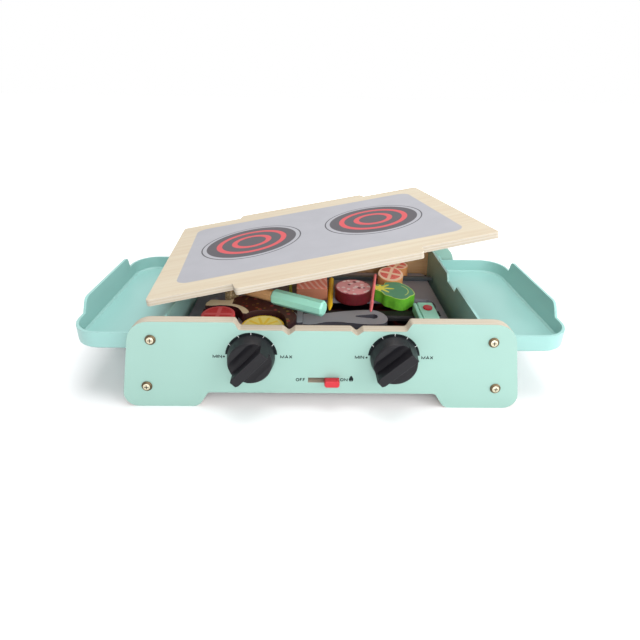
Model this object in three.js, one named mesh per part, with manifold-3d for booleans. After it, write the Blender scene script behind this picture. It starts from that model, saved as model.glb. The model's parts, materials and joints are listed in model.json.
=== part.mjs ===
// Toy tabletop barbecue grill: plywood front and rear panels, moulded side walls with trays,
// a slotted grate with play food and tools on it, two knobs, a sliding switch and a stove-top lid.
// Millimetres, +X right, +Y away from the front panel, +Z up. Y is 0 on the front panel's face
// until the whole grill is centred on its footprint at the end of the file.
import * as THREE from 'three';
import { mergeVertices } from 'three/addons/utils/BufferGeometryUtils.js';
import Module from 'manifold-3d';

const wasm = await Module();
wasm.setup();

// Fits shared by the whole grill
const seat_gap = 0.3; // between pieces that rest on each other
const running_gap = 0.4; // round a piece that turns or slides
const overrun = 1; // how far a cutter passes the face that it cuts
const arc_steps = 6; // straight steps in a rounded corner
const round_sides = 24; // sides of a small round piece
const quarter_turn = Math.PI / 2;

// Front and rear panels
const panel_width = 360; // across the feet
const panel_height = 84.5;
const panel_thickness = 10;
const panel_side_lean = 11; // how far each side leans in towards the top
const panel_top_radius = 20;
const panel_foot_radius = 13;
const cavity_depth = 190; // between the two panels
const saddle_width = 147; // lowered middle of the top edge
const saddle_depth = 7.5;
const shoulder_run = 4;
const shoulder_radius = 3;
const arch_width = 205; // cut-out between the feet
const arch_height = 14.5;
const arch_slope_run = 9;
const arch_radius = 4;
const foot_inner_radius = 9;
const notch_spacing = 60; // between the two skewer notches
const notch_width = 11;
const notch_depth = 4.6;
const notch_radius = 2; // at the notch's bottom
const notch_edge_radius = 1;

// Knobs and the printed dials' centres
const dial_spacing = 126;
const dial_height = 51.8;
const knob_radius = 21;
const knob_face_radius = 19.2;
const knob_skirt = 2.5; // straight part of the rim next to the panel
const knob_depth = 12.5;
const knob_edge = 1.2;
const grip_height = 21.5; // top of the grip bar over the panel
const grip_width = 9;
const grip_back_reach = 19.5; // from the axis to the blunt end
const grip_nose_reach = 19.6; // from the axis to the pointing end
const grip_nose_length = 2;
const grip_nose_width = 7;
const grip_foot = 2; // bar's height over the panel
const grip_chamfer = 0.9;
const scoop_radius = 11; // hollows beside the bar
const scoop_lift = 9.2; // scoop's centre over the drum's face
const scoop_offset = 3; // scoop's centre beside the bar
const left_knob_turn = THREE.MathUtils.degToRad(226.6);
const right_knob_turn = THREE.MathUtils.degToRad(221.7);
const axle_radius = 3;
const axle_grip = 7; // length of axle inside the knob
const axle_end = 1.2; // length of axle past the nut
const knob_washer_radius = 7.4;
const knob_washer_thickness = 1.5;
const knob_nut_radius = 6.5; // across the corners, halved
const knob_nut_thickness = 3.8;
const knob_nut_sides = 6;

// Sliding switch
const slot_length = 28;
const slot_height = 5;
const slot_centre_x = 1.3;
const slot_centre_z = 28;
const button_width = 13.6;
const button_height = 6.6;
const button_proud = 6.6;
const button_edge = 1.2;
const stem_width = 12.8;
const keeper_width = 24;
const keeper_height = 11;
const keeper_thickness = 2.5;
const keeper_screw_radius = 1.3;
const keeper_screw_length = 7;
const keeper_head_radius = 2.8;
const keeper_head_thickness = 1.6;

// Panel screws with their cup washers
const screw_shaft_radius = 1.6;
const screw_length = 22;
const screw_head_radius = 3.1;
const screw_head_crown = 0.5; // height of the head over its own rim
const screw_recess_arm = 1.9;
const screw_recess_width = 0.8;
const screw_recess_depth = 0.7;
const cup_radius = 4.8;
const cup_crest_radius = 3.7;
const cup_height = 1.4;
const cup_edge_height = 0.4; // at the cup's hole and at its outer edge
const upper_screw_inset = 29.5; // from the panel's widest place
const upper_screw_z = 67.2;
const lower_screw_inset = 23.3;
const lower_screw_z = 20.9;
const screw_hole_radius = screw_shaft_radius + running_gap;

// Side walls with their trays
const wall_spacing = 283; // over the outer faces
const wall_thickness = 2.5;
const wall_height = 83;
const wall_foot = 12.5; // lower edge over the ground
const ledge_depth = 6; // carries the base board
const ledge_thickness = 3.2;
const recess_width = 36; // trapezoid notch in the wall's top edge
const recess_depth = 7.5;
const recess_slope_run = 5;
const recess_setback = 8; // notch's centre in front of the wall's middle
const tray_reach = 89.5; // from the wall to the tray's outer edge
const tray_end_gap = 2; // to each panel
const tray_floor_height = 49.4;
const tray_floor_thickness = 2.5;
const tray_rim_height = 17.1;
const tray_rim_thickness = 2.6;
const tray_corner_radius = 27;
const tray_draft = 1.2; // how much smaller the tray is at its floor
const tray_foot_round = 2;
const flap_length = 117; // raised part of the outer rim
const flap_slope_run = 7;
const flap_rise = 14;
const flap_radius = 7;
const boss_radius = 4.6;
const boss_length = 18;
const boss_web = 3;

// Inside of the grill
const board_height = 16; // underside of the base board
const board_thickness = 6;
const window_width = 210; // red ember window lying on the base board
const window_depth = 130;
const window_thickness = 2;
const battery_box_width = 92; // hangs under the base board
const battery_box_depth = 64;
const battery_box_height = 10;
const battery_box_wall = 2;
const battery_cover_thickness = 2;
const rail_width = 14;
const rail_height = 8;
const grate_top = 50;
const grate_thickness = 6;
const grate_left_gap = 2; // to the left wall
const grate_right_gap = 7;
const grate_end_gap = 9;
const grate_radius = 5;
const grate_slot_count = 2;
const grate_slot_width = 28.5;
const grate_slot_pitch = 39.5;
const grate_slot_setback = 21; // slots' middle in front of the grill's middle
const grate_slot_radius = 11;
const grate_left_margin = 12;
const grate_right_margin = 6;
const cross_bar_width = 5;
const cross_bar_height = 4.5;
const cross_bar_side_gap = 1.5;
const cross_bar_setback = 28; // from the rear panel

// Stove-top lid, turned, tilted and resting askew on the rear panel's left shoulder
const lid_length = 334.2;
const lid_width = 246.5;
const lid_thickness = 6.5;
const lid_radius = 4;
const lid_tab_width = 172.9;
const lid_tab_reach = 13.5;
const lid_tab_slope = 3;
const lid_turn = THREE.MathUtils.degToRad(7.48);
const lid_tilt = THREE.MathUtils.degToRad(-9.33);
const lid_pitch = THREE.MathUtils.degToRad(-3.04);
const lid_seat_along = 140.54; // seat point from the lid's middle, towards its left end
const lid_seat_back = 70.3;

// Play food and tools
const stick_sides = 10;
const stick_taper_share = 4; // length of a stick's point for its radius
const outline_steps = 44; // straight steps in a smooth outline
const steak_length = 94;
const steak_width = 64;
const steak_thickness = 11;
const tomato_radius = 16.5;
const tomato_thickness = 13;
const lemon_radius = 21;
const lemon_thickness = 7;
const salmon_length = 34.5;
const salmon_width = 38;
const salmon_thickness = 14;
const salami_radius = 20.5;
const salami_thickness = 13;
const pepper_length = 43.2;
const pepper_width = 44.2;
const pepper_thickness = 13.5;
const front_peach_radius = 15;
const front_peach_lean = THREE.MathUtils.degToRad(10); // its back edge lies on the cross bar
const rear_peach_radius = 13.4;
const peach_thickness = 13;
const yellow_stick_radius = 3;
const yellow_stick_length = 78;
const pink_stick_radius = 1.7;
const pink_stick_length = 92;
const green_stick_radius = 1.8;
const green_stick_length = 52;
const spatula_thickness = 6;
const spatula_length = 85;
const spatula_width = 29.3; // the bent handle's overall width
const hole_length = 22.7;
const hole_radius = 4.5;
const hole_tip_radius = 1.5;
const hole_setback = 9.2; // from the handle's far end
const hole_offset = 6.2; // behind the ferrule's middle line
const ferrule_length = 6;
const ferrule_width = 24;
const ferrule_thickness = 8.6;
const blade_length = 60;
const blade_width = 44;
const blade_thickness = 2;
const blade_radius = 6;
const rod_sides = 8;
const grip_rod_radius = 8;
const grip_rod_length = 58;
const neck_rod_radius = 6.2;
const neck_rod_length = 48;
const rod_chamfer = 1.6;
const bristle_length = 9; // along the brush
const bristle_width = 15;
const bristle_height = 16; // hanging down from the neck's middle
const bristle_edge = 1;
const tongs_length = 63;
const tongs_width = 16.5;
const tongs_thickness = 10.7;
const tongs_side_width = 4;
const tongs_side_drop = 0.6;
const tongs_edge = 1;
const pivot_radius = 4.8;
const pivot_height = 1.8;
const pivot_setback = 14.6; // from the tongs' far end

// Places worked out from the sizes above
const cavity_front = panel_thickness;
const cavity_back = panel_thickness + cavity_depth;
const cavity_middle = (cavity_front + cavity_back) / 2;
const wall_outer = wall_spacing / 2;
const wall_inner = wall_outer - wall_thickness;
const saddle_height = panel_height - saddle_depth;
const upper_screw_x = panel_width / 2 - upper_screw_inset;
const lower_screw_x = panel_width / 2 - lower_screw_inset;
const food_seat = grate_top + seat_gap;

// A closed geometry as a solid that can be joined and cut
function solidOf(geometry) {
  const bare = geometry.clone();
  bare.deleteAttribute('normal');
  bare.deleteAttribute('uv');
  const merged = mergeVertices(bare);
  return new wasm.Manifold(new wasm.Mesh({
    numProp: 3,
    vertProperties: new Float32Array(merged.attributes.position.array),
    triVerts: new Uint32Array(merged.index.array),
  }));
}

// A joined or cut solid as a geometry again
function geometryOf(solid) {
  const mesh = solid.getMesh();
  const geometry = new THREE.BufferGeometry();
  geometry.setAttribute('position', new THREE.BufferAttribute(mesh.vertProperties, 3));
  geometry.setIndex(new THREE.BufferAttribute(mesh.triVerts, 1));
  geometry.computeVertexNormals();
  return geometry;
}

function joined(...geometries) {
  return geometryOf(geometries.map(solidOf).reduce((whole, piece) => whole.add(piece)));
}

function cut(geometry, ...cutters) {
  return geometryOf(cutters.map(solidOf).reduce((left, piece) => left.subtract(piece), solidOf(geometry)));
}

// The mirror image across the plane x = 0, with its faces still pointing out
function mirrored(geometry) {
  const copy = geometry.clone().applyMatrix4(new THREE.Matrix4().makeScale(-1, 1, 1));
  const order = copy.index.array;
  for (let i = 0; i < order.length; i += 3) [order[i], order[i + 1]] = [order[i + 1], order[i]];
  copy.computeVertexNormals();
  return copy;
}

// Outline points through corners given as [x, y, radius]
function roundedPoints(corners) {
  const points = [];
  corners.forEach(([x, y, radius], i) => {
    const corner = new THREE.Vector2(x, y);
    if (!radius) {
      points.push(corner);
      return;
    }
    const [xa, ya] = corners.at(i - 1);
    const [xb, yb] = corners[(i + 1) % corners.length];
    const back = new THREE.Vector2(xa, ya).sub(corner).normalize();
    const ahead = new THREE.Vector2(xb, yb).sub(corner).normalize();
    const half = Math.acos(THREE.MathUtils.clamp(back.dot(ahead), -1, 1)) / 2;
    const middle = back.clone().add(ahead).normalize().multiplyScalar(radius / Math.sin(half));
    const centre = corner.clone().add(middle);
    const start = back.multiplyScalar(radius / Math.tan(half)).add(corner).sub(centre);
    const end = ahead.multiplyScalar(radius / Math.tan(half)).add(corner).sub(centre);
    const sweep = Math.atan2(start.cross(end), start.dot(end));
    for (let s = 0; s <= arc_steps; s += 1) {
      points.push(start.clone().rotateAround(new THREE.Vector2(), (sweep * s) / arc_steps).add(centre));
    }
  });
  return points;
}

function roundedShape(corners) {
  return new THREE.Shape(roundedPoints(corners));
}

function rectangle(width, height, radius) {
  const [w, h] = [width / 2, height / 2];
  return [[-w, -h, radius], [w, -h, radius], [w, h, radius], [-w, h, radius]];
}

function roundHole(x, y, radius) {
  return new THREE.Path().absarc(x, y, radius, 0, 2 * Math.PI, true);
}

// Corners of a regular polygon, counter-clockwise
function polygonPoints(radius, sides) {
  const start = new THREE.Vector2(radius, 0);
  const middle = new THREE.Vector2();
  return Array.from({ length: sides }, (_, i) => start.clone().rotateAround(middle, (2 * Math.PI * i) / sides));
}

// A flat plate lying in XY, from z = 0 up
function flatPlate(shape, thickness) {
  return new THREE.ExtrudeGeometry(shape, { depth: thickness, bevelEnabled: false, curveSegments: round_sides / 2 });
}

// A plate standing in XZ, from y = 0 back
function standingPlate(shape, thickness) {
  return flatPlate(shape, thickness).rotateX(quarter_turn).translate(0, thickness, 0);
}

// A block by its lowest corner and its size
function block(x, y, z, width, depth, height) {
  return new THREE.BoxGeometry(width, depth, height).translate(x + width / 2, y + depth / 2, z + height / 2);
}

// A block with its upright or lying edges rounded, from z = 0 up
function roundedBlock(width, depth, height, edge) {
  const shape = roundedShape(rectangle(width - 2 * edge, depth - 2 * edge, edge));
  return new THREE.ExtrudeGeometry(shape, {
    depth: height - 2 * edge, bevelThickness: edge, bevelSize: edge, bevelSegments: 2,
  }).translate(0, 0, edge);
}

// A round piece along +Y from a profile of [radius, y] pairs
function turned(profile, sides = round_sides) {
  const points = profile.map(([radius, y]) => new THREE.Vector2(radius, y));
  return new THREE.LatheGeometry(points, sides);
}

// A solid through rings of equally many points, from the lowest ring to the highest
function lofted(rings) {
  const count = rings[0].length;
  const positions = rings.flat().flatMap((p) => [p.x, p.y, p.z]);
  const faces = [];
  for (let r = 0; r + 1 < rings.length; r += 1) {
    for (let i = 0; i < count; i += 1) {
      const [a, b] = [r * count + i, r * count + ((i + 1) % count)];
      faces.push(a, b, b + count, a, b + count, a + count);
    }
  }
  const top = (rings.length - 1) * count;
  for (const [i, j, k] of THREE.ShapeUtils.triangulateShape(rings[0], [])) {
    faces.push(i, k, j, top + i, top + j, top + k);
  }
  const geometry = new THREE.BufferGeometry();
  geometry.setAttribute('position', new THREE.Float32BufferAttribute(positions, 3));
  geometry.setIndex(faces);
  geometry.computeVertexNormals();
  return geometry;
}

const grill = new THREE.Group();

function material(colour, roughness, metalness = 0) {
  return new THREE.MeshStandardMaterial({ color: colour, roughness, metalness });
}

function add(name, geometry, finish, place = [0, 0, 0], parent = grill) {
  const mesh = new THREE.Mesh(geometry, finish.clone());
  mesh.name = name;
  mesh.position.set(...place);
  parent.add(mesh);
  return mesh;
}

const mint_paint = material('#a9dccd', 0.5);
const mint_plastic = material('#9fded2', 0.35);
const bare_wood = material('#e6cfa5', 0.6);
const black_paint = material('#17151a', 0.55);
const grey_paint = material('#75757f', 0.5);
const dark_grey_paint = material('#3c4246', 0.5);
const knob_plastic = material('#26272b', 0.4);
const red_plastic = material('#cf1f30', 0.35);
const steel = material('#b9b5ac', 0.3, 1);
const brass = material('#b08d57', 0.35, 1);

// Outline shared by both panels, in the panel's own plane
function panelShape() {
  const foot = panel_width / 2;
  const top = foot - panel_side_lean;
  const shoulder = saddle_width / 2;
  const arch = arch_width / 2;
  const right = [
    [arch, arch_height, arch_radius],
    [arch + arch_slope_run, 0, foot_inner_radius],
    [foot, 0, panel_foot_radius],
    [top, panel_height, panel_top_radius],
    [shoulder + shoulder_run, panel_height, shoulder_radius],
    [shoulder, saddle_height, shoulder_radius],
  ];
  const notches = [];
  for (const centre of [notch_spacing / 2, -notch_spacing / 2]) {
    notches.push([centre + notch_width / 2, saddle_height, notch_edge_radius]);
    notches.push([centre, saddle_height - notch_depth, notch_radius]);
    notches.push([centre - notch_width / 2, saddle_height, notch_edge_radius]);
  }
  const left = right.map(([x, z, radius]) => [-x, z, radius]).reverse();
  return roundedShape([...right, ...notches, ...left]);
}

const screw_places = [
  ['upper_left', -upper_screw_x, upper_screw_z],
  ['upper_right', upper_screw_x, upper_screw_z],
  ['lower_left', -lower_screw_x, lower_screw_z],
  ['lower_right', lower_screw_x, lower_screw_z],
];
const dial_places = [
  ['left', -dial_spacing / 2, left_knob_turn],
  ['right', dial_spacing / 2, right_knob_turn],
];

function addPanels() {
  const front = panelShape();
  const rear = panelShape();
  for (const [, x, z] of screw_places) {
    front.holes.push(roundHole(x, z, screw_hole_radius));
    rear.holes.push(roundHole(x, z, screw_hole_radius));
  }
  for (const [, x] of dial_places) front.holes.push(roundHole(x, dial_height, axle_radius + running_gap));
  const slot = roundedPoints(rectangle(slot_length, slot_height, 0));
  front.holes.push(new THREE.Path(slot.map((p) => p.clone().add(new THREE.Vector2(slot_centre_x, slot_centre_z)))));
  add('front_panel', standingPlate(front, panel_thickness), mint_paint);
  add('rear_panel', standingPlate(rear, panel_thickness), mint_paint, [0, cavity_back, 0]);
}

// One cup washer with its screw's head sunk in it; side is 1 on the front panel and -1 on the rear one
function addScrew(name, x, z, face, side) {
  const cup = turned([
    [screw_hole_radius, 0], [screw_hole_radius, -cup_edge_height], [cup_crest_radius, -cup_height],
    [cup_radius, -cup_edge_height], [cup_radius, 0], [screw_hole_radius, 0],
  ]);
  const slope = (cup_height - cup_edge_height) / (cup_crest_radius - screw_hole_radius);
  const clearance = seat_gap * Math.hypot(1, slope);
  const [shaft_seat, rim_seat] = [screw_shaft_radius, screw_head_radius]
    .map((radius) => -seat_gap - cup_edge_height - clearance - (radius - screw_hole_radius) * slope);
  const crown = rim_seat - screw_head_crown;
  const body = turned([
    [0, crown], [screw_head_radius / 2, crown], [screw_head_radius, rim_seat],
    [screw_shaft_radius, shaft_seat], [screw_shaft_radius, shaft_seat + screw_length],
    [0, shaft_seat + screw_length + screw_shaft_radius],
  ]);
  const top = crown - overrun;
  const depth = overrun + screw_recess_depth;
  const recess = [0, quarter_turn].map((turn) => block(
    -screw_recess_arm, top, -screw_recess_width / 2, 2 * screw_recess_arm, depth, screw_recess_width,
  ).rotateY(turn));
  const screw = cut(body, ...recess);
  const holder = new THREE.Group();
  holder.position.set(x, face, z);
  holder.rotation.z = side > 0 ? 0 : Math.PI;
  grill.add(holder);
  add(`${name}_cup_washer`, cup, brass, [0, -seat_gap, 0], holder);
  add(`${name}_screw`, screw, steel, [0, 0, 0], holder);
}

function addScrews() {
  for (const [place, x, z] of screw_places) {
    addScrew(`front_${place}`, x, z, 0, 1);
    addScrew(`rear_${place}`, x, z, cavity_back + panel_thickness, -1);
  }
}

// A knob seen from the front, its drum rising along +Z and its pointer along +X
function knobGeometry() {
  const drum = turned([
    [0, 0], [knob_radius, 0], [knob_radius, knob_skirt], [knob_face_radius, knob_depth - knob_edge],
    [knob_face_radius - knob_edge, knob_depth], [0, knob_depth],
  ], 2 * round_sides).rotateX(quarter_turn);
  const half = grip_width / 2;
  const nose = grip_nose_reach - grip_nose_length;
  const bar_shape = roundedShape([
    [-grip_back_reach + grip_chamfer, -half + grip_chamfer, 0],
    [nose - grip_chamfer, -half + grip_chamfer, 0],
    [grip_nose_reach - grip_chamfer, -grip_nose_width / 2 + grip_chamfer, 0],
    [grip_nose_reach - grip_chamfer, grip_nose_width / 2 - grip_chamfer, 0],
    [nose - grip_chamfer, half - grip_chamfer, 0],
    [-grip_back_reach + grip_chamfer, half - grip_chamfer, 0],
  ]);
  const bar = new THREE.ExtrudeGeometry(bar_shape, {
    depth: grip_height - grip_foot - 2 * grip_chamfer,
    bevelThickness: grip_chamfer, bevelSize: grip_chamfer, bevelSegments: 2,
  }).translate(0, 0, grip_foot + grip_chamfer);
  const scoops = [-1, 1].map((side) => turned([
    [0, -2 * knob_radius], [scoop_radius, -2 * knob_radius], [scoop_radius, 2 * knob_radius], [0, 2 * knob_radius],
  ]).rotateZ(quarter_turn).translate(0, side * (half + scoop_offset), knob_depth + scoop_lift));
  const bore = turned([
    [0, -overrun], [axle_radius + seat_gap, -overrun],
    [axle_radius + seat_gap, axle_grip + seat_gap], [0, axle_grip + seat_gap],
  ]).rotateX(quarter_turn);
  return cut(joined(cut(drum, ...scoops), bar), bore);
}

function addKnobs() {
  const washer_face = panel_thickness + running_gap;
  const nut_face = washer_face + knob_washer_thickness + seat_gap;
  const axle_tip = nut_face + knob_nut_thickness + axle_end;
  const bore_radius = axle_radius + seat_gap;
  for (const [side, x, turn] of dial_places) {
    const knob = knobGeometry().rotateZ(turn).rotateX(quarter_turn);
    add(`${side}_knob`, knob, knob_plastic, [x, -running_gap, dial_height]);
    const axle = turned([[0, -running_gap - axle_grip], [axle_radius, -running_gap - axle_grip],
      [axle_radius, axle_tip], [0, axle_tip]]);
    add(`${side}_knob_axle`, axle, steel, [x, 0, dial_height]);
    const washer = turned([[bore_radius, 0], [knob_washer_radius, 0], [knob_washer_radius, knob_washer_thickness],
      [bore_radius, knob_washer_thickness], [bore_radius, 0]]);
    add(`${side}_knob_washer`, washer, steel, [x, washer_face, dial_height]);
    const hexagon = new THREE.Shape(polygonPoints(knob_nut_radius, knob_nut_sides));
    hexagon.holes.push(roundHole(0, 0, bore_radius));
    add(`${side}_knob_nut`, standingPlate(hexagon, knob_nut_thickness), brass, [x, nut_face, dial_height]);
  }
}

function addSwitch() {
  const rest_x = slot_centre_x + slot_length / 2 - seat_gap - stem_width / 2;
  const stem_height = slot_height - 2 * seat_gap;
  const stem_end = panel_thickness + running_gap;
  const button = roundedBlock(button_width, button_height, button_proud, button_edge)
    .rotateX(quarter_turn).translate(0, -running_gap, 0);
  const stem = block(-stem_width / 2, -running_gap - overrun, -stem_height / 2,
    stem_width, stem_end + running_gap + overrun, stem_height);
  const keeper_face = stem_end + seat_gap;
  const pilot_radius = keeper_screw_radius + seat_gap;
  const head_face = keeper_face + keeper_thickness + seat_gap;
  const tip = head_face - keeper_screw_length;
  const pilot = turned([[0, tip - seat_gap], [pilot_radius, tip - seat_gap], [pilot_radius, stem_end + overrun],
    [0, stem_end + overrun]]);
  add('switch_slider', cut(joined(button, stem), pilot), red_plastic, [rest_x, 0, slot_centre_z]);
  const keeper_shape = roundedShape(rectangle(keeper_width, keeper_height, keeper_thickness));
  keeper_shape.holes.push(roundHole(0, 0, pilot_radius));
  add('switch_keeper', standingPlate(keeper_shape, keeper_thickness), dark_grey_paint,
    [rest_x, keeper_face, slot_centre_z]);
  const screw = turned([[0, tip], [keeper_screw_radius, tip], [keeper_screw_radius, head_face],
    [keeper_head_radius, head_face], [keeper_head_radius, head_face + keeper_head_thickness / 2],
    [keeper_head_radius / 2, head_face + keeper_head_thickness], [0, head_face + keeper_head_thickness]]);
  add('switch_screw', screw, steel, [rest_x, 0, slot_centre_z]);
}

// Ring of the tray's outline, drawn in from its outer edge by an inset, at a height
function trayRing(inner_x, inset, z) {
  const outer = wall_outer + tray_reach - inset;
  const [front, back] = [cavity_front + tray_end_gap + inset, cavity_back - tray_end_gap - inset];
  const radius = tray_corner_radius - inset;
  const points = roundedPoints([
    [inner_x, front, 0], [outer, front, radius], [outer, back, radius], [inner_x, back, 0],
  ]);
  return points.map((p) => new THREE.Vector3(p.x, p.y, z));
}

// The right side: wall, ledge, tray, flap and screw bosses in one moulding
function sideTrayGeometry() {
  const [front, back] = [cavity_front + seat_gap, cavity_back - seat_gap];
  const centre = cavity_middle - recess_setback;
  const [wide, narrow] = [recess_width / 2, recess_width / 2 - recess_slope_run];
  const wall_shape = new THREE.Shape([
    [front, wall_foot], [back, wall_foot], [back, wall_height], [centre + wide, wall_height],
    [centre + narrow, wall_height - recess_depth], [centre - narrow, wall_height - recess_depth],
    [centre - wide, wall_height], [front, wall_height],
  ].map(([y, z]) => new THREE.Vector2(y, z)));
  const wall = sidePlate(wall_shape, wall_thickness, wall_inner);
  const ledge = block(wall_inner - ledge_depth, front, wall_foot,
    ledge_depth + wall_thickness / 2, back - front, ledge_thickness);

  const rim_top = tray_floor_height + tray_rim_height;
  const floor_top = tray_floor_height + tray_floor_thickness;
  const inner_x = wall_outer - wall_thickness / 2;
  const tray = lofted([
    trayRing(inner_x, tray_draft + tray_foot_round, tray_floor_height),
    trayRing(inner_x, tray_draft, tray_floor_height + tray_foot_round),
    trayRing(inner_x, 0, rim_top),
  ]);
  const hollow = lofted([
    trayRing(wall_outer, tray_rim_thickness + tray_draft + tray_foot_round, floor_top),
    trayRing(wall_outer, tray_rim_thickness + tray_draft, floor_top + tray_foot_round),
    trayRing(wall_outer, tray_rim_thickness, rim_top),
    trayRing(wall_outer, tray_rim_thickness, rim_top + overrun),
  ]);

  const [base, top] = [flap_length / 2, flap_length / 2 - flap_slope_run];
  const flap_shape = roundedShape([
    [cavity_middle - base, rim_top - tray_rim_thickness, 0], [cavity_middle + base, rim_top - tray_rim_thickness, 0],
    [cavity_middle + top, rim_top + flap_rise, flap_radius], [cavity_middle - top, rim_top + flap_rise, flap_radius],
  ]);
  const flap = sidePlate(flap_shape, tray_rim_thickness, wall_outer + tray_reach - tray_rim_thickness);

  const bosses = [];
  const holes = [];
  for (const [x, z] of [[upper_screw_x, upper_screw_z], [lower_screw_x, lower_screw_z]]) {
    for (const start of [front, back - boss_length]) {
      bosses.push(turned([[0, 0], [boss_radius, 0], [boss_radius, boss_length], [0, boss_length]])
        .translate(x, start, z));
      bosses.push(block(inner_x, start, z - boss_web / 2, x - inner_x, boss_length, boss_web));
      const hole_start = start === front ? front - overrun : back - boss_length - overrun;
      holes.push(turned([[0, 0], [screw_hole_radius, 0], [screw_hole_radius, boss_length + 2 * overrun],
        [0, boss_length + 2 * overrun]]).translate(x, hole_start, z));
    }
  }
  return cut(joined(cut(tray, hollow), wall, ledge, flap, ...bosses), ...holes);
}

// A plate standing in YZ, from x outwards
function sidePlate(shape, thickness, x) {
  const turn = new THREE.Matrix4().set(0, 0, 1, 0, 1, 0, 0, 0, 0, 1, 0, 0, 0, 0, 0, 1);
  return flatPlate(shape, thickness).applyMatrix4(turn).translate(x, 0, 0);
}

function addSideTrays() {
  const right = sideTrayGeometry();
  add('right_side_tray', right, mint_plastic);
  add('left_side_tray', mirrored(right), mint_plastic);
}

function addInside() {
  const board_width = 2 * (wall_inner - seat_gap);
  add('base_board', block(-board_width / 2, cavity_front + seat_gap, board_height,
    board_width, cavity_depth - 2 * seat_gap, board_thickness), black_paint);
  add('ember_window', block(-window_width / 2, cavity_middle - window_depth / 2, board_height + board_thickness
    + seat_gap, window_width, window_depth, window_thickness), material('#a01810', 0.3));
  const box_base = board_height - seat_gap - battery_box_height;
  const box_front = cavity_middle - battery_box_depth / 2;
  const [room_width, room_depth] = [battery_box_width - 2 * battery_box_wall, battery_box_depth - 2 * battery_box_wall];
  const battery_box = block(-battery_box_width / 2, box_front, box_base,
    battery_box_width, battery_box_depth, battery_box_height);
  const room = block(-room_width / 2, box_front + battery_box_wall, box_base - overrun,
    room_width, room_depth, battery_box_height - battery_box_wall + overrun);
  add('battery_box', cut(battery_box, room), knob_plastic);
  add('battery_cover', block(-battery_box_width / 2, box_front, box_base - seat_gap - battery_cover_thickness,
    battery_box_width, battery_box_depth, battery_cover_thickness), knob_plastic);

  const rail_base = grate_top - grate_thickness - seat_gap - rail_height;
  const rail = block(-board_width / 2, 0, rail_base, board_width, rail_width, rail_height);
  add('front_grate_rail', rail, dark_grey_paint, [0, cavity_front + seat_gap, 0]);
  add('rear_grate_rail', rail, dark_grey_paint, [0, cavity_back - seat_gap - rail_width, 0]);

  const [edge_left, edge_right] = [-wall_inner + grate_left_gap, wall_inner - grate_right_gap];
  const [front, back] = [cavity_front + grate_end_gap, cavity_back - grate_end_gap];
  const shape = roundedShape([
    [edge_left, front, grate_radius], [edge_right, front, grate_radius],
    [edge_right, back, grate_radius], [edge_left, back, grate_radius],
  ]);
  const [left, right] = [edge_left + grate_left_margin, edge_right - grate_right_margin];
  for (let i = 0; i < grate_slot_count; i += 1) {
    const middle = cavity_middle - grate_slot_setback + (i - (grate_slot_count - 1) / 2) * grate_slot_pitch;
    const [low, high] = [middle - grate_slot_width / 2, middle + grate_slot_width / 2];
    shape.holes.push(new THREE.Path(roundedPoints([
      [left, low, grate_slot_radius], [left, high, grate_slot_radius],
      [right, high, grate_slot_radius], [right, low, grate_slot_radius],
    ])));
  }
  add('grill_grate', flatPlate(shape, grate_thickness), grey_paint, [0, 0, grate_top - grate_thickness]);
  const bar_half = wall_inner - cross_bar_side_gap;
  add('grate_cross_bar', block(-bar_half, cavity_back - cross_bar_setback - cross_bar_width, food_seat,
    2 * bar_half, cross_bar_width, cross_bar_height), dark_grey_paint);
}

function addLid() {
  const [along, back] = [lid_length / 2, lid_width / 2];
  const tab = lid_tab_width / 2;
  const edge = [
    [along, back, lid_radius], [tab + lid_tab_slope, back, 0], [tab, back + lid_tab_reach, lid_radius],
    [-tab, back + lid_tab_reach, lid_radius], [-tab - lid_tab_slope, back, 0], [-along, back, lid_radius],
  ];
  const shape = roundedShape([...edge, ...edge.map(([x, y, radius]) => [-x, -y, radius])]);
  const lean = Math.atan2(panel_side_lean, panel_height);
  const round_start = panel_top_radius / Math.tan((quarter_turn + lean) / 2);
  const seat_x = panel_width / 2 - panel_side_lean - round_start - panel_top_radius * Math.sin(lid_tilt);
  const seat_drop = panel_top_radius * (1 - Math.cos(lid_tilt));
  const seat = new THREE.Group();
  seat.position.set(-seat_x, cavity_back + panel_thickness, panel_height - seat_drop + seat_gap);
  seat.rotation.set(lid_pitch, lid_tilt, lid_turn, 'ZYX');
  grill.add(seat);
  add('stove_top_lid', flatPlate(shape, lid_thickness), bare_wood, [lid_seat_along, -lid_seat_back, 0], seat);
}

// A disc lying flat, from z = 0 up
function disc(radius, thickness, sides = round_sides) {
  return turned([[0, 0], [radius, 0], [radius, thickness], [0, thickness]], sides).rotateX(quarter_turn);
}

// Lifts a leaning piece until its lowest point rests on the grate
function seated(geometry) {
  geometry.computeBoundingBox();
  return geometry.translate(0, 0, food_seat - geometry.boundingBox.min.z);
}

// A smooth closed outline through points given as shares of a length and a width
function softShape(shares, length, width) {
  const points = shares.map(([x, y]) => new THREE.Vector3(x * length, y * width, 0));
  const curve = new THREE.CatmullRomCurve3(points, true);
  const outline = curve.getPoints(outline_steps).slice(0, outline_steps);
  return new THREE.Shape(outline.map((p) => new THREE.Vector2(p.x, p.y)));
}

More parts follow.
